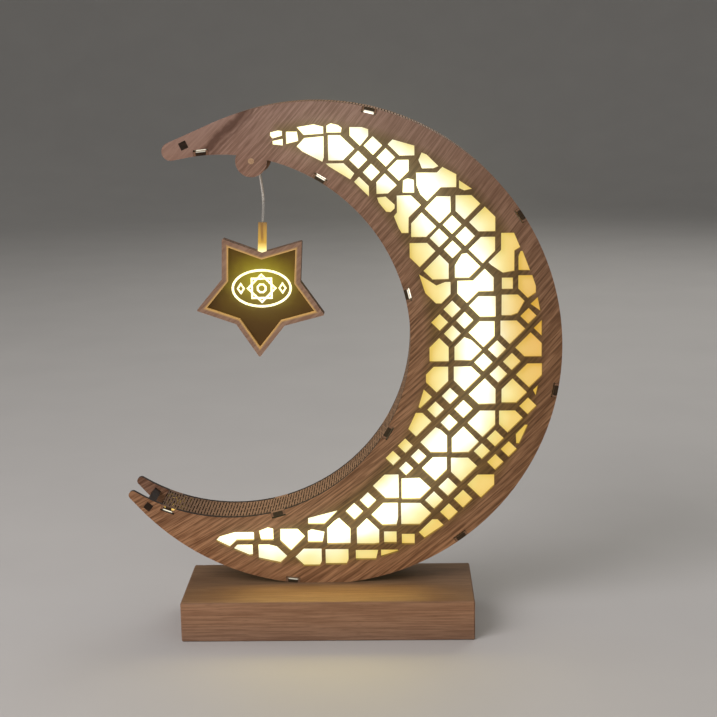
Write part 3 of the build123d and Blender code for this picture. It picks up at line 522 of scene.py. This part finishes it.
notch_light, notch_in, notch_out = new_group(
    "light_in_notches", {"Vector": "NodeSocketVector"}, {"Share": "NodeSocketFloat"}
)
notches = [(on_arc(OUTER_CENTRE, OUTER_RADIUS - LEAK_IN, OUTER_TABS[i]), lit) for i, lit in OUTER_LEAKS]
notches += [(on_arc(INNER_CENTRE, INNER_RADIUS + LEAK_IN, INNER_TABS[i]), lit) for i, lit in INNER_LEAKS]
notch_share = 0.0
for notch, lit in notches:
    way_off = distance_from(notch_light, notch_in["Vector"], notch)
    near = remap(notch_light, way_off, LIT_NOTCH_HALF, LIT_NOTCH_HALF + LIT_NOTCH_FADE, lit, 0.0)
    notch_share = work_out(notch_light, "MAXIMUM", notch_share, near)
feed(notch_out, Share=notch_share)


def light_in_notches(tree, place):
    return add_node(tree, "ShaderNodeGroup", {"Vector": place}, node_tree=notch_light).outputs["Share"]


scorched_cut, cut_tree, cut_shader = new_material(
    "scorched_cut", Specular_IOR_Level=0.1, Emission_Strength=1.5
)
cut_place = object_place(cut_tree)
cut_depth = split(cut_tree, cut_place)["Y"]
soot = noise(cut_tree, cut_place, SOOT_PER_METRE, detail=3.0)
char = blend_colours(cut_tree, remap(cut_tree, soot, *SOOT_LIMITS), CHAR, THIN_CHAR)

# The tabs' ends are charred near their middles only, and bare wood beside that
tab_range = 1.0
for centre, reach, angles in (
    (OUTER_CENTRE, OUTER_RADIUS - SHEET / 2, OUTER_TABS),
    (INNER_CENTRE, INNER_RADIUS + SHEET / 2, INNER_TABS),
):
    for angle in angles:
        to_tab = distance_from(cut_tree, cut_place, on_arc(centre, reach, angle))
        tab_range = work_out(cut_tree, "MINIMUM", tab_range, to_tab)
from_middle = work_out(cut_tree, "SUBTRACT", cut_depth, (BOX_FRONT + BOX_REAR) / 2)
box_half = (BOX_REAR - BOX_FRONT) / 2
end_from, end_full = (box_half - short for short in END_FACE)
on_end = remap(cut_tree, work_out(cut_tree, "ABSOLUTE", from_middle), end_from, end_full)
beside = remap(cut_tree, tab_range, CHARRED_HALF, CHARRED_HALF + CHARRED_FADE)
bare_share = work_out(cut_tree, "MULTIPLY", on_end, beside)

# Light shows on the inner part of some ends in front, and as flecks in the slits
tab_end = remap(cut_tree, cut_depth, *(BOX_FRONT + deep for deep in LIT_END_DEPTHS), 1.0, 0.0)
from_edge = remap(cut_tree, depth_in_crescent(cut_tree, cut_place), *LIT_END_FROM_EDGE)
tab_end = work_out(cut_tree, "MULTIPLY", tab_end, from_edge)
tab_lit = work_out(cut_tree, "MULTIPLY", light_in_notches(cut_tree, cut_place), tab_end)
fleck = remap(cut_tree, noise(cut_tree, cut_place, GLINTS_PER_METRE), *GLINT_LIMITS)
near_glint = remap(cut_tree, distance_from(cut_tree, cut_place, GLINT_SPOT), *GLINT_REACH, 1.0, 0.0)
fleck = blend_colours(cut_tree, work_out(cut_tree, "MULTIPLY", fleck, near_glint), BLACK, GLINT)
feed(
    cut_shader,
    Base_Color=blend_colours(cut_tree, bare_share, char, TAB_WOOD),
    Roughness=remap(cut_tree, soot, *NOISE_LIMITS, *CUT_ROUGHNESS),
    Emission_Color=blend_colours(cut_tree, tab_lit, fleck, LEAK),
)

inner_wall = kerfed_wall(
    "inner_kerfed_wall", INNER_CENTRE, INNER_RADIUS, SHEET, INNER_ENDS, INNER_TABS,
    radians(CABLE_SLOT_AT) * INNER_RADIUS,
)
outer_wall = kerfed_wall("outer_kerfed_wall", OUTER_CENTRE, OUTER_RADIUS, -SHEET, OUTER_ENDS, OUTER_TABS)
for wall, node in ((inner_wall, "inner_wall"), (outer_wall, "outer_wall")):
    wall.data.materials.append(bent_face)
    wall.data.materials.append(scorched_cut)
    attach(wall, "lamp")
    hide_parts(node)


# Lit sheet: thin white plastic glued behind the lattice. The LED strip behind it burns it white along a
# band near the middle of the crescent. It falls to yellow at both edges and to amber where the crescent is
# widest. Next to the walls it is dark, apart from the notches where bare light leaks by it.
GLOW_CENTRE = (-0.0348, 0.0, 0.2022)
GLOW_RADIUS = 0.1405
GLOW_REACH = 0.044
GLOW_WANDER = 0.003
GLOW_STOPS = (
    (0.00, (1.00, 0.95, 0.48)),
    (0.20, (0.80, 0.76, 0.41)),
    (0.29, (0.43, 0.415, 0.30)),
    (0.36, (0.365, 0.342, 0.205)),
    (0.46, (0.330, 0.290, 0.122)),
    (0.58, (0.308, 0.248, 0.070)),
    (0.72, (0.288, 0.200, 0.032)),
    (1.00, (0.278, 0.178, 0.020)),
)
CLOUDS_PER_METRE = 46.0
AMBER_SPOT = (0.150, 0.0, 0.212)
AMBER_STRETCH = (1.5, 0.0, 0.9)
AMBER_REACH = (0.014, 0.060)
AMBER_MOST = 0.95
AMBER = (0.252, 0.132, 0.004, 1.0)
UNLIT_DEPTHS = (0.0065, 0.0085)
UNLIT = (0.012, 0.008, 0.004, 1.0)
LEAK_DEPTHS = (0.0080, 0.0065)

lit_sheet, lit_tree, lit_shader = new_material(
    "lit_sheet", Base_Color=(0.30, 0.28, 0.22, 1.0), Roughness=0.6, Emission_Strength=2.4
)
lit_place = object_place(lit_tree)
lit_range = work_out(lit_tree, "SUBTRACT", distance_from(lit_tree, lit_place, GLOW_CENTRE), GLOW_RADIUS)
wander = noise(lit_tree, lit_place, CLOUDS_PER_METRE)
wander = remap(lit_tree, wander, *NOISE_LIMITS, -GLOW_WANDER, GLOW_WANDER)
lit_range = work_out(lit_tree, "ABSOLUTE", work_out(lit_tree, "ADD", lit_range, wander))
glow = ramp(lit_tree, remap(lit_tree, lit_range, 0.0, GLOW_REACH), GLOW_STOPS)
amber_range = distance_from(lit_tree, lit_place, AMBER_SPOT, AMBER_STRETCH)
glow = blend_colours(lit_tree, remap(lit_tree, amber_range, *AMBER_REACH, AMBER_MOST, 0.0), glow, AMBER)
lit_depth = depth_in_crescent(lit_tree, lit_place)
glow = blend_colours(lit_tree, remap(lit_tree, lit_depth, *UNLIT_DEPTHS, 1.0, 0.0), glow, UNLIT)
leak = remap(lit_tree, lit_depth, *LEAK_DEPTHS)
leak = work_out(lit_tree, "MULTIPLY", light_in_notches(lit_tree, lit_place), leak)
feed(lit_shader, Emission_Color=blend_colours(lit_tree, leak, glow, LEAK))
dress(lit_sheet, "diffuser")


# LED strip and its chips: a flexible white circuit stuck to the rear panel along the middle of the
# crescent, with a row of small square packages on it, yellow where the phosphor covers the die.
TRACKS_PER_METRE = 420.0
TRACK_LIMITS = (0.55, 0.62)
CIRCUIT_WHITE = (0.78, 0.74, 0.62, 1.0)
CIRCUIT_COPPER = (0.55, 0.33, 0.12, 1.0)
GRIT_PER_METRE = 1500.0
PHOSPHOR_DEEP = (0.95, 0.72, 0.22, 1.0)
PHOSPHOR_PALE = (1.0, 0.86, 0.5, 1.0)

circuit, circuit_tree, circuit_shader = new_material("strip_circuit", Roughness=0.45)
tracks = noise(circuit_tree, object_place(circuit_tree), TRACKS_PER_METRE)
tracks = remap(circuit_tree, tracks, *TRACK_LIMITS)
feed(circuit_shader, Base_Color=blend_colours(circuit_tree, tracks, CIRCUIT_WHITE, CIRCUIT_COPPER))
dress(circuit, "led_strip")

phosphor, phosphor_tree, phosphor_shader = new_material(
    "led_phosphor", Roughness=0.3, Emission_Strength=4.0
)
grit = noise(phosphor_tree, object_place(phosphor_tree), GRIT_PER_METRE)
grit = remap(phosphor_tree, grit, *NOISE_LIMITS)
phosphor_colour = blend_colours(phosphor_tree, grit, PHOSPHOR_DEEP, PHOSPHOR_PALE)
feed(phosphor_shader, Base_Color=phosphor_colour, Emission_Color=phosphor_colour)
dress(phosphor, "led_chips")


# Power inlet and its nut: a black moulded barrel socket with a bright centre pin, drawn against the rear
# panel by a plated nut inside the box.
INLET_AXIS = (0.002, 0.0, 0.038)
PIN_RADIUS = 0.0012
PIN_EDGE = 1.1 * PIN_RADIUS
PIN_BRIGHT = (0.72, 0.69, 0.62, 1.0)
MOULD_PER_METRE = 2200.0
MOULD_ROUGHNESS = (0.34, 0.52)
SHELL_BLACK = (0.012, 0.012, 0.013, 1.0)
SHELL_WORN = (0.03, 0.03, 0.032, 1.0)
TURNING_PER_METRE = 1200.0
TURNED_ROUGHNESS = (0.25, 0.42)
PLATE_DARK = (0.46, 0.46, 0.44, 1.0)
PLATE_BRIGHT = (0.66, 0.65, 0.62, 1.0)

socket_black, socket_tree, socket_shader = new_material("socket_black", Specular_IOR_Level=0.4)
socket_place = object_place(socket_tree)
pin_range = distance_from(socket_tree, socket_place, INLET_AXIS)
pin_share = remap(socket_tree, pin_range, PIN_RADIUS, PIN_EDGE, 1.0, 0.0)
mould = noise(socket_tree, socket_place, MOULD_PER_METRE)
shell = blend_colours(socket_tree, mould, SHELL_BLACK, SHELL_WORN)
feed(
    socket_shader,
    Base_Color=blend_colours(socket_tree, pin_share, shell, PIN_BRIGHT),
    Metallic=pin_share,
    Roughness=remap(socket_tree, mould, *NOISE_LIMITS, *MOULD_ROUGHNESS),
)
dress(socket_black, "power_inlet")

nut_plate, nut_tree, nut_shader = new_material("nut_plate", Metallic=1.0)
turning = noise(nut_tree, object_place(nut_tree), TURNING_PER_METRE, detail=3.0)
feed(
    nut_shader,
    Base_Color=blend_colours(nut_tree, turning, PLATE_DARK, PLATE_BRIGHT),
    Roughness=remap(nut_tree, turning, *NOISE_LIMITS, *TURNED_ROUGHNESS),
)
dress(nut_plate, "inlet_nut")


# Horn pegs and hanger dowel: bars of hard plywood and a round rod of pale wood, glued through both panels.
# The pegs are laser cut and nearly black.
PEG_TONES = ((0.030, 0.015, 0.009), (0.014, 0.008, 0.005), (0.008, 0.005, 0.004))
DOWEL_TONES = ((0.56, 0.37, 0.22), (0.38, 0.23, 0.13), (0.2, 0.11, 0.06))


def through_grain(tree, place):
    turned = {"Vector": place, "Rotation": (0.0, 0.0, radians(90.0))}
    return add_node(tree, "ShaderNodeMapping", turned).outputs[0]


peg_dark = wood("peg_dark", PEG_TONES, streaks=600.0, share=0.8)[0]
dress(peg_dark, "upper_tip_peg", "lower_tip_peg")
dowel_wood = wood("dowel_wood", DOWEL_TONES, streaks=900.0, share=0.7, run=through_grain)[0]
dress(dowel_wood, "hanger_dowel")


# Hanging cable: a thin flexible lead with a cloudy clear sheath, clearer towards its lower end. It comes
# out of the crescent through the inner wall, goes over the dowel between the ears and hangs with a slight
# bow to the star.
CABLE_DEPTH = 0.0185
CABLE_RADIUS = 0.0009
CABLE_SIDES = 12
CABLE_ROUTE = ((-0.042765, 0.319989), (-0.041610, 0.311063), (-0.039465, 0.294489), (-0.040990, 0.280335))
ROUTE_STEPS = 12
HAZE_PER_METRE = 700.0
SHEATH_DULL = (0.68, 0.66, 0.60, 1.0)
SHEATH_PALE = (0.90, 0.88, 0.82, 1.0)
SHEATH_ROUGHNESS = (0.15, 0.3)
CLEAR_HEIGHTS = (0.291, 0.307)
CLEAR_ALPHA = 0.20

route = bpy.data.curves.new("cable_route", "CURVE")
route.dimensions = "3D"
route.resolution_u = ROUTE_STEPS
spline = route.splines.new("NURBS")
spline.points.add(len(CABLE_ROUTE) - 1)
for point, (x, z) in zip(spline.points, CABLE_ROUTE):
    point.co = (x, CABLE_DEPTH, z, 1.0)
spline.order_u = 3
spline.use_endpoint_u = True
route_object = bpy.data.objects.new("cable_route", route)
line = bpy.data.meshes.new_from_object(route_object)
cable_path = [vert.co.copy() for vert in line.vertices]
bpy.data.objects.remove(route_object)
bpy.data.meshes.remove(line)

mesh = bmesh.new()
ring = bmesh.ops.create_circle(mesh, cap_ends=True, segments=CABLE_SIDES, radius=CABLE_RADIUS)["verts"]
lean = (cable_path[1] - cable_path[0]).to_track_quat("Z", "Y").to_matrix().to_4x4()
bmesh.ops.transform(mesh, matrix=Matrix.Translation(cable_path[0]) @ lean, verts=ring)
tip = mesh.faces[:]
for here, there in zip(cable_path, cable_path[1:]):
    step = bmesh.ops.extrude_face_region(mesh, geom=tip)["geom"]
    ring = [part for part in step if isinstance(part, bmesh.types.BMVert)]
    bmesh.ops.translate(mesh, vec=there - here, verts=ring)
    if here != cable_path[0]:
        bmesh.ops.delete(mesh, geom=tip, context="FACES_ONLY")
    tip = [part for part in step if isinstance(part, bmesh.types.BMFace)]
bmesh.ops.recalc_face_normals(mesh, faces=mesh.faces[:])
for face in mesh.faces:
    face.smooth = len(face.verts) == 4
cable = place_mesh("hanging_cable", mesh)

sheath, sheath_tree, sheath_shader = new_material("clear_sheath", Specular_IOR_Level=0.5)
sheath_place = object_place(sheath_tree)
haze = noise(sheath_tree, sheath_place, HAZE_PER_METRE)
feed(
    sheath_shader,
    Base_Color=blend_colours(sheath_tree, haze, SHEATH_DULL, SHEATH_PALE),
    Roughness=remap(sheath_tree, haze, *NOISE_LIMITS, *SHEATH_ROUGHNESS),
    Alpha=remap(sheath_tree, split(sheath_tree, sheath_place)["Z"], *CLEAR_HEIGHTS, CLEAR_ALPHA, 1.0),
)
cable.data.materials.append(sheath)
dress(sheath, "cable_feed")
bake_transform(cable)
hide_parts("star_cable_top", "star_cable")


# Star rings: laser-cut plywood outlines glued to the front and the back of the star's panel. Light from the
# panel comes out at their inner edges and turns the wood golden there.
STAR_CENTRE = (-0.043265, 0.0, 0.232089)
STAR_TILT = radians(-2.7)
STAR_WIDEN = 1.03
STAR_HALF_POINT = radians(36.0)
STAR_LINE_TURN = radians(54.6)
STAR_LINE_OUT = 0.02606
RING_WIDTH = 0.0042
RING_TONES = ((0.35, 0.222, 0.155), (0.235, 0.135, 0.09), (0.12, 0.062, 0.038))
RING_SHIFT = (0.13, 0.2, 0.31)
RING_SCORCH = (0.09, 0.05, 0.03, 1.0)
GOLD_WIDTH = 0.0017
EDGE_GOLD = (0.60, 0.37, 0.12, 1.0)

# Depth inside the star's outline: the turn folds onto half a point, whose edge lies a set way out
star_depth, depth_in, depth_out = new_group(
    "depth_in_star", {"Vector": "NodeSocketVector"}, {"Depth": "NodeSocketFloat"}
)
star_flat = flat_offset(star_depth, depth_in["Vector"], STAR_CENTRE, (1.0 / STAR_WIDEN, 0.0, 1.0))
star_way = split(star_depth, star_flat)
down = work_out(star_depth, "MULTIPLY", star_way["Z"], -1.0)
star_turn = work_out(star_depth, "ARCTAN2", star_way["X"], down)
star_turn = work_out(star_depth, "ADD", star_turn, -STAR_TILT)
fold = work_out(star_depth, "PINGPONG", star_turn, STAR_HALF_POINT)
fold = work_out(star_depth, "COSINE", work_out(star_depth, "SUBTRACT", fold, STAR_LINE_TURN))
out_along_line = work_out(star_depth, "MULTIPLY", length_of(star_depth, star_flat), fold)
feed(depth_out, Depth=work_out(star_depth, "SUBTRACT", STAR_LINE_OUT, out_along_line))

star_veneer, ring_tree, ring_shader, ring_colour = wood(
    "star_veneer", RING_TONES, streaks=480.0, share=0.7, run=swept_grain(RING_SHIFT)
)[:4]
ring_inputs = {"Vector": object_place(ring_tree)}
ring_depth = add_node(ring_tree, "ShaderNodeGroup", ring_inputs, node_tree=star_depth).outputs["Depth"]
gold_share = remap(ring_tree, ring_depth, RING_WIDTH - GOLD_WIDTH, RING_WIDTH)
ring_colour = scorched(ring_tree, ring_colour, RING_SCORCH)
feed(
    ring_shader,
    Base_Color=blend_colours(ring_tree, gold_share, ring_colour, EDGE_GOLD),
    Emission_Color=blend_colours(ring_tree, gold_share, BLACK, EDGE_GOLD),
)
ring_shader.inputs["Emission Strength"].default_value = 0.3
dress(star_veneer, "star_front_frame", "star_rear_frame")


# Star panel: tinted clear acrylic, lit from its top notch by the LED on the tail. It glows olive yellow
# round the rosette and stays dark amber in its points.
GLOW_HEART = (-0.0427, 0.0, 0.2405)
HEART_STRETCH = (0.72, 0.0, 1.0)
HEART_REACH = (0.004, 0.038)
HEART_WANDER = 0.002
TINT_CLOUDS_PER_METRE = 90.0
TINT_DEEP = (0.045, 0.021, 0.003, 1.0)
TINT_PALE = (0.065, 0.032, 0.004, 1.0)
AMBER_STOPS = (
    (0.00, (0.30, 0.26, 0.004)),
    (0.25, (0.17, 0.130, 0.003)),
    (0.50, (0.065, 0.039, 0.0015)),
    (0.75, (0.034, 0.016, 0.001)),
    (1.00, (0.022, 0.009, 0.0005)),
)

amber_panel, amber_tree, amber_shader = new_material(
    "amber_panel", Roughness=0.3, Specular_IOR_Level=0.25, Coat_Weight=0.1, Emission_Strength=1.0
)
amber_place = object_place(amber_tree)
amber_cloud = noise(amber_tree, amber_place, TINT_CLOUDS_PER_METRE)
heart_range = distance_from(amber_tree, amber_place, GLOW_HEART, HEART_STRETCH)
wander = remap(amber_tree, amber_cloud, *NOISE_LIMITS, -HEART_WANDER, HEART_WANDER)
heart_range = work_out(amber_tree, "ADD", heart_range, wander)
feed(
    amber_shader,
    Base_Color=blend_colours(amber_tree, amber_cloud, TINT_DEEP, TINT_PALE),
    Emission_Color=ramp(amber_tree, remap(amber_tree, heart_range, *HEART_REACH), AMBER_STOPS),
)
dress(amber_panel, "star_panel")


# Rosette: fine frosted lines on the front of the panel, which catch its light and shine pale yellow. It is
# a plain eight-fold star of two squares in an oval ring, with a lozenge on each side.
ROSETTE_ASIDE = 0.0004
ROSETTE_RISE = 0.0028
ROSETTE_CENTRE = Vector(
    (STAR_CENTRE[0] + ROSETTE_ASIDE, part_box("star_panel")[0][1], STAR_CENTRE[2] + ROSETTE_RISE)
)
ROSETTE_LINES = (
    # sides, half width, half height, line width, turn, offset to the side, height above the panel
    (96, 0.0206, 0.0132, 0.0015, 0.0, 0.0, 0.00026),
    (4, 0.0104, 0.0104, 0.0013, 0.0, 0.0, 0.00020),
    (4, 0.0104, 0.0104, 0.0013, 45.0, 0.0, 0.00023),
    (8, 0.0036, 0.0036, 0.0012, 22.5, 0.0, 0.00029),
    (4, 0.0028, 0.0042, 0.0011, 0.0, -0.0143, 0.00020),
    (4, 0.0028, 0.0042, 0.0011, 0.0, 0.0143, 0.00020),
)
FROST_PER_METRE = 500.0
FROST_LIMITS = (0.35, 0.65)
FROST_YELLOW = (1.0, 0.90, 0.36, 1.0)
FROST_PALE = (1.0, 0.97, 0.62, 1.0)

mesh = bmesh.new()
for sides, wide, high, width, turn, aside, height in ROSETTE_LINES:
    verts = bmesh.ops.create_circle(mesh, cap_ends=True, segments=sides, radius=wide)["verts"]
    bmesh.ops.scale(mesh, vec=(1.0, high / wide, 1.0), verts=verts)
    plate = list({face for vert in verts for face in vert.link_faces})
    band = bmesh.ops.inset_individual(mesh, faces=plate, thickness=width, use_even_offset=True)["faces"]
    bmesh.ops.delete(mesh, geom=plate, context="FACES_ONLY")
    raised = bmesh.ops.extrude_face_region(mesh, geom=band)["geom"]
    top = [part for part in raised if isinstance(part, bmesh.types.BMVert)]
    bmesh.ops.translate(mesh, vec=(0.0, 0.0, height), verts=top)
    shape = list({vert for face in band for vert in face.verts} | set(top))
    bmesh.ops.rotate(mesh, matrix=Matrix.Rotation(radians(turn), 3, "Z"), verts=shape)
    bmesh.ops.translate(mesh, vec=(aside, 0.0, 0.0), verts=shape)
bmesh.ops.rotate(mesh, matrix=Matrix.Rotation(radians(90.0), 3, "X"), verts=mesh.verts[:])
bmesh.ops.translate(mesh, vec=ROSETTE_CENTRE, verts=mesh.verts[:])
bmesh.ops.recalc_face_normals(mesh, faces=mesh.faces[:])
rosette = place_mesh("star_rosette", mesh)

engraving, engraving_tree, engraving_shader = new_material(
    "lit_engraving", Roughness=0.5, Emission_Strength=1.6
)
frost = noise(engraving_tree, object_place(engraving_tree), FROST_PER_METRE)
frost = remap(engraving_tree, frost, *FROST_LIMITS)
frost_colour = blend_colours(engraving_tree, frost, FROST_YELLOW, FROST_PALE)
feed(engraving_shader, Base_Color=frost_colour, Emission_Color=frost_colour)
rosette.data.materials.append(engraving)
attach(rosette, "star")


# Lit tail: a narrow circuit strip that stands in the panel's top slot with one LED low on its front. It
# shines white at the notch and fades to gold and then bare copper towards the cable, with a darker track up
# its middle.
TAIL_SEAT = 0.0030
TAIL_LOW, TAIL_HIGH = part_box("star_led_strip")
TAIL_FOOT = TAIL_LOW[2] + TAIL_SEAT
TAIL_TOP = TAIL_HIGH[2]
TAIL_MIDDLE = (TAIL_LOW[0] + TAIL_HIGH[0]) / 2
TRACK_HALF = 0.0007
TRACK_FADE = 0.0004
TRACK_FROM = (0.30, 0.50)
TRACK = (0.36, 0.27, 0.15, 1.0)
TAIL_STOPS = (
    (0.00, (1.0, 0.92, 0.55)),
    (0.14, (0.80, 0.62, 0.18)),
    (0.34, (0.35, 0.215, 0.020)),
    (0.85, (0.16, 0.092, 0.014)),
    (1.00, (0.05, 0.028, 0.010)),
)

lit_tail, tail_tree, tail_shader = new_material(
    "lit_tail", Base_Color=(0.28, 0.16, 0.05, 1.0), Roughness=0.35, Emission_Strength=1.3
)
tail_spot = split(tail_tree, object_place(tail_tree))
tail_share = remap(tail_tree, tail_spot["Z"], TAIL_FOOT, TAIL_TOP)
track = work_out(tail_tree, "ABSOLUTE", work_out(tail_tree, "SUBTRACT", tail_spot["X"], TAIL_MIDDLE))
track = remap(tail_tree, track, TRACK_HALF, TRACK_HALF + TRACK_FADE, 1.0, 0.0)
track = work_out(tail_tree, "MULTIPLY", track, remap(tail_tree, tail_share, *TRACK_FROM))
tail_glow = ramp(tail_tree, tail_share, TAIL_STOPS)
feed(tail_shader, Emission_Color=blend_colours(tail_tree, track, tail_glow, TRACK, "MULTIPLY"))
dress(lit_tail, "star_led_strip", "star_led")


# Studio: a plain pale floor, round and swept up at its edge all the way about the lamp, in broad soft light
# from the upper left and above.
FLOOR_REACH = 2.6
FLOOR_SIDES = 96
SWEEP_RADIUS = 1.7
SWEEP_STEPS = 16
FLOOR_DULL = (0.50, 0.49, 0.475, 1.0)
FLOOR_PALE = (0.55, 0.54, 0.52, 1.0)
DUST_PER_METRE = 9.0
AMBIENT = (0.160, 0.158, 0.152, 1.0)

mesh = bmesh.new()
bmesh.ops.create_circle(mesh, cap_ends=True, segments=FLOOR_SIDES, radius=FLOOR_REACH)
edge = mesh.edges[:]
reach, lift = FLOOR_REACH, 0.0
for i in range(1, SWEEP_STEPS + 1):
    turn = radians(90.0 * i / SWEEP_STEPS)
    onward = bmesh.ops.extrude_edge_only(mesh, edges=edge)["geom"]
    edge = [part for part in onward if isinstance(part, bmesh.types.BMEdge)]
    ring = [part for part in onward if isinstance(part, bmesh.types.BMVert)]
    wider = (FLOOR_REACH + SWEEP_RADIUS * sin(turn)) / reach
    higher = SWEEP_RADIUS * (1.0 - cos(turn)) - lift
    bmesh.ops.scale(mesh, vec=(wider, wider, 1.0), verts=ring)
    bmesh.ops.translate(mesh, vec=(0.0, 0.0, higher), verts=ring)
    reach, lift = reach * wider, lift + higher
    edge = [part for part in edge if part.is_boundary]
bmesh.ops.recalc_face_normals(mesh, faces=mesh.faces[:])
for face in mesh.faces:
    face.smooth = True
floor = place_mesh("floor", mesh)

pale, pale_tree, pale_shader = new_material("pale_floor", Roughness=0.6, Specular_IOR_Level=0.2)
dust = noise(pale_tree, object_place(pale_tree), DUST_PER_METRE, detail=3.0)
feed(pale_shader, Base_Color=blend_colours(pale_tree, dust, FLOOR_DULL, FLOOR_PALE))
floor.data.materials.append(pale)

world = bpy.data.worlds.new("studio")
bpy.context.scene.world = world
world.use_nodes = True
world.node_tree.nodes["Background"].inputs["Color"].default_value = AMBIENT
world.node_tree.nodes["Background"].inputs["Strength"].default_value = 1.0


def soft_light(name, place, target, width, height, power, colour):
    data = bpy.data.lights.new(name, "AREA")
    data.shape = "RECTANGLE"
    data.size = width
    data.size_y = height
    data.energy = power
    data.color = colour
    lamp = bpy.data.objects.new(name, data)
    lamp.location = place
    lamp.rotation_euler = (Vector(target) - Vector(place)).to_track_quat("-Z", "Y").to_euler()
    lamp.visible_camera = False
    bpy.context.collection.objects.link(lamp)


SOFT_LIGHTS = (
    # name, place, target, width, height, power, colour
    ("key_light", (-0.95, -0.95, 1.15), (-0.05, 0.0, 0.25), 1.0, 1.0, 18.0, (1.0, 0.95, 0.98)),
    ("fill_light", (-0.3, -1.9, 0.95), (0.0, 0.0, 0.2), 1.2, 1.2, 3.6, (1.0, 0.84, 0.66)),
    ("top_light", (0.1, 0.3, 1.9), (0.0, 0.1, 0.0), 1.6, 1.6, 7.5, (1.0, 0.97, 0.94)),
    ("rear_light", (0.8, 1.5, 1.4), (0.0, 0.0, 0.2), 1.2, 1.2, 9.0, (1.0, 0.97, 0.94)),
    # what the lamp throws on the base and the floor in front of it, and what the floor throws back up
    ("floor_bounce", (0.0, -0.16, 0.004), (0.0, -0.16, 0.3), 0.4, 0.2, 0.16, (1.0, 0.66, 0.30)),
    ("lattice_spill", (0.0, -0.002, 0.062), (0.0, -1.0, 0.062), 0.13, 0.03, 0.06, (1.0, 0.76, 0.17)),
)
for light in SOFT_LIGHTS:
    soft_light(*light)

LENS_PIXELS = 1410.3
IMAGE_PIXELS = 717
SENSOR_WIDTH = 36.0
CAMERA_PLACE = (0.04828, -0.93643, 0.38661)
CAMERA_REACH = 40.0
PITCH, YAW, ROLL = 0.2084, -0.0269, -0.0173
camera_data = bpy.data.cameras.new("camera")
camera_data.sensor_width = SENSOR_WIDTH
camera_data.lens = LENS_PIXELS / IMAGE_PIXELS * SENSOR_WIDTH
camera_data.clip_end = CAMERA_REACH
camera = bpy.data.objects.new("camera", camera_data)
ahead = Vector((sin(YAW) * cos(PITCH), cos(YAW) * cos(PITCH), -sin(PITCH)))
right = Vector((cos(YAW), -sin(YAW), 0.0))
up = right.cross(ahead)
side = right * cos(ROLL) + up * sin(ROLL)
top = up * cos(ROLL) - right * sin(ROLL)
camera.matrix_world = Matrix.Translation(CAMERA_PLACE) @ Matrix((side, top, -ahead)).transposed().to_4x4()
bpy.context.collection.objects.link(camera)
bpy.context.scene.camera = camera
bpy.context.scene.view_settings.view_transform = "Standard"

# Soft bloom round the lit openings, as a lens gives it
BLOOM = {"Threshold": 1.0, "Smoothness": 0.3, "Strength": 0.4, "Size": 0.45}
bpy.context.scene.use_nodes = True
picture = bpy.context.scene.node_tree
picture.nodes.clear()
layers = picture.nodes.new("CompositorNodeRLayers")
bloom = picture.nodes.new("CompositorNodeGlare")
bloom.glare_type = "BLOOM"
for socket, value in BLOOM.items():
    bloom.inputs[socket].default_value = value
result = picture.nodes.new("CompositorNodeComposite")
picture.links.new(layers.outputs["Image"], bloom.inputs["Image"])
picture.links.new(bloom.outputs["Image"], result.inputs["Image"])
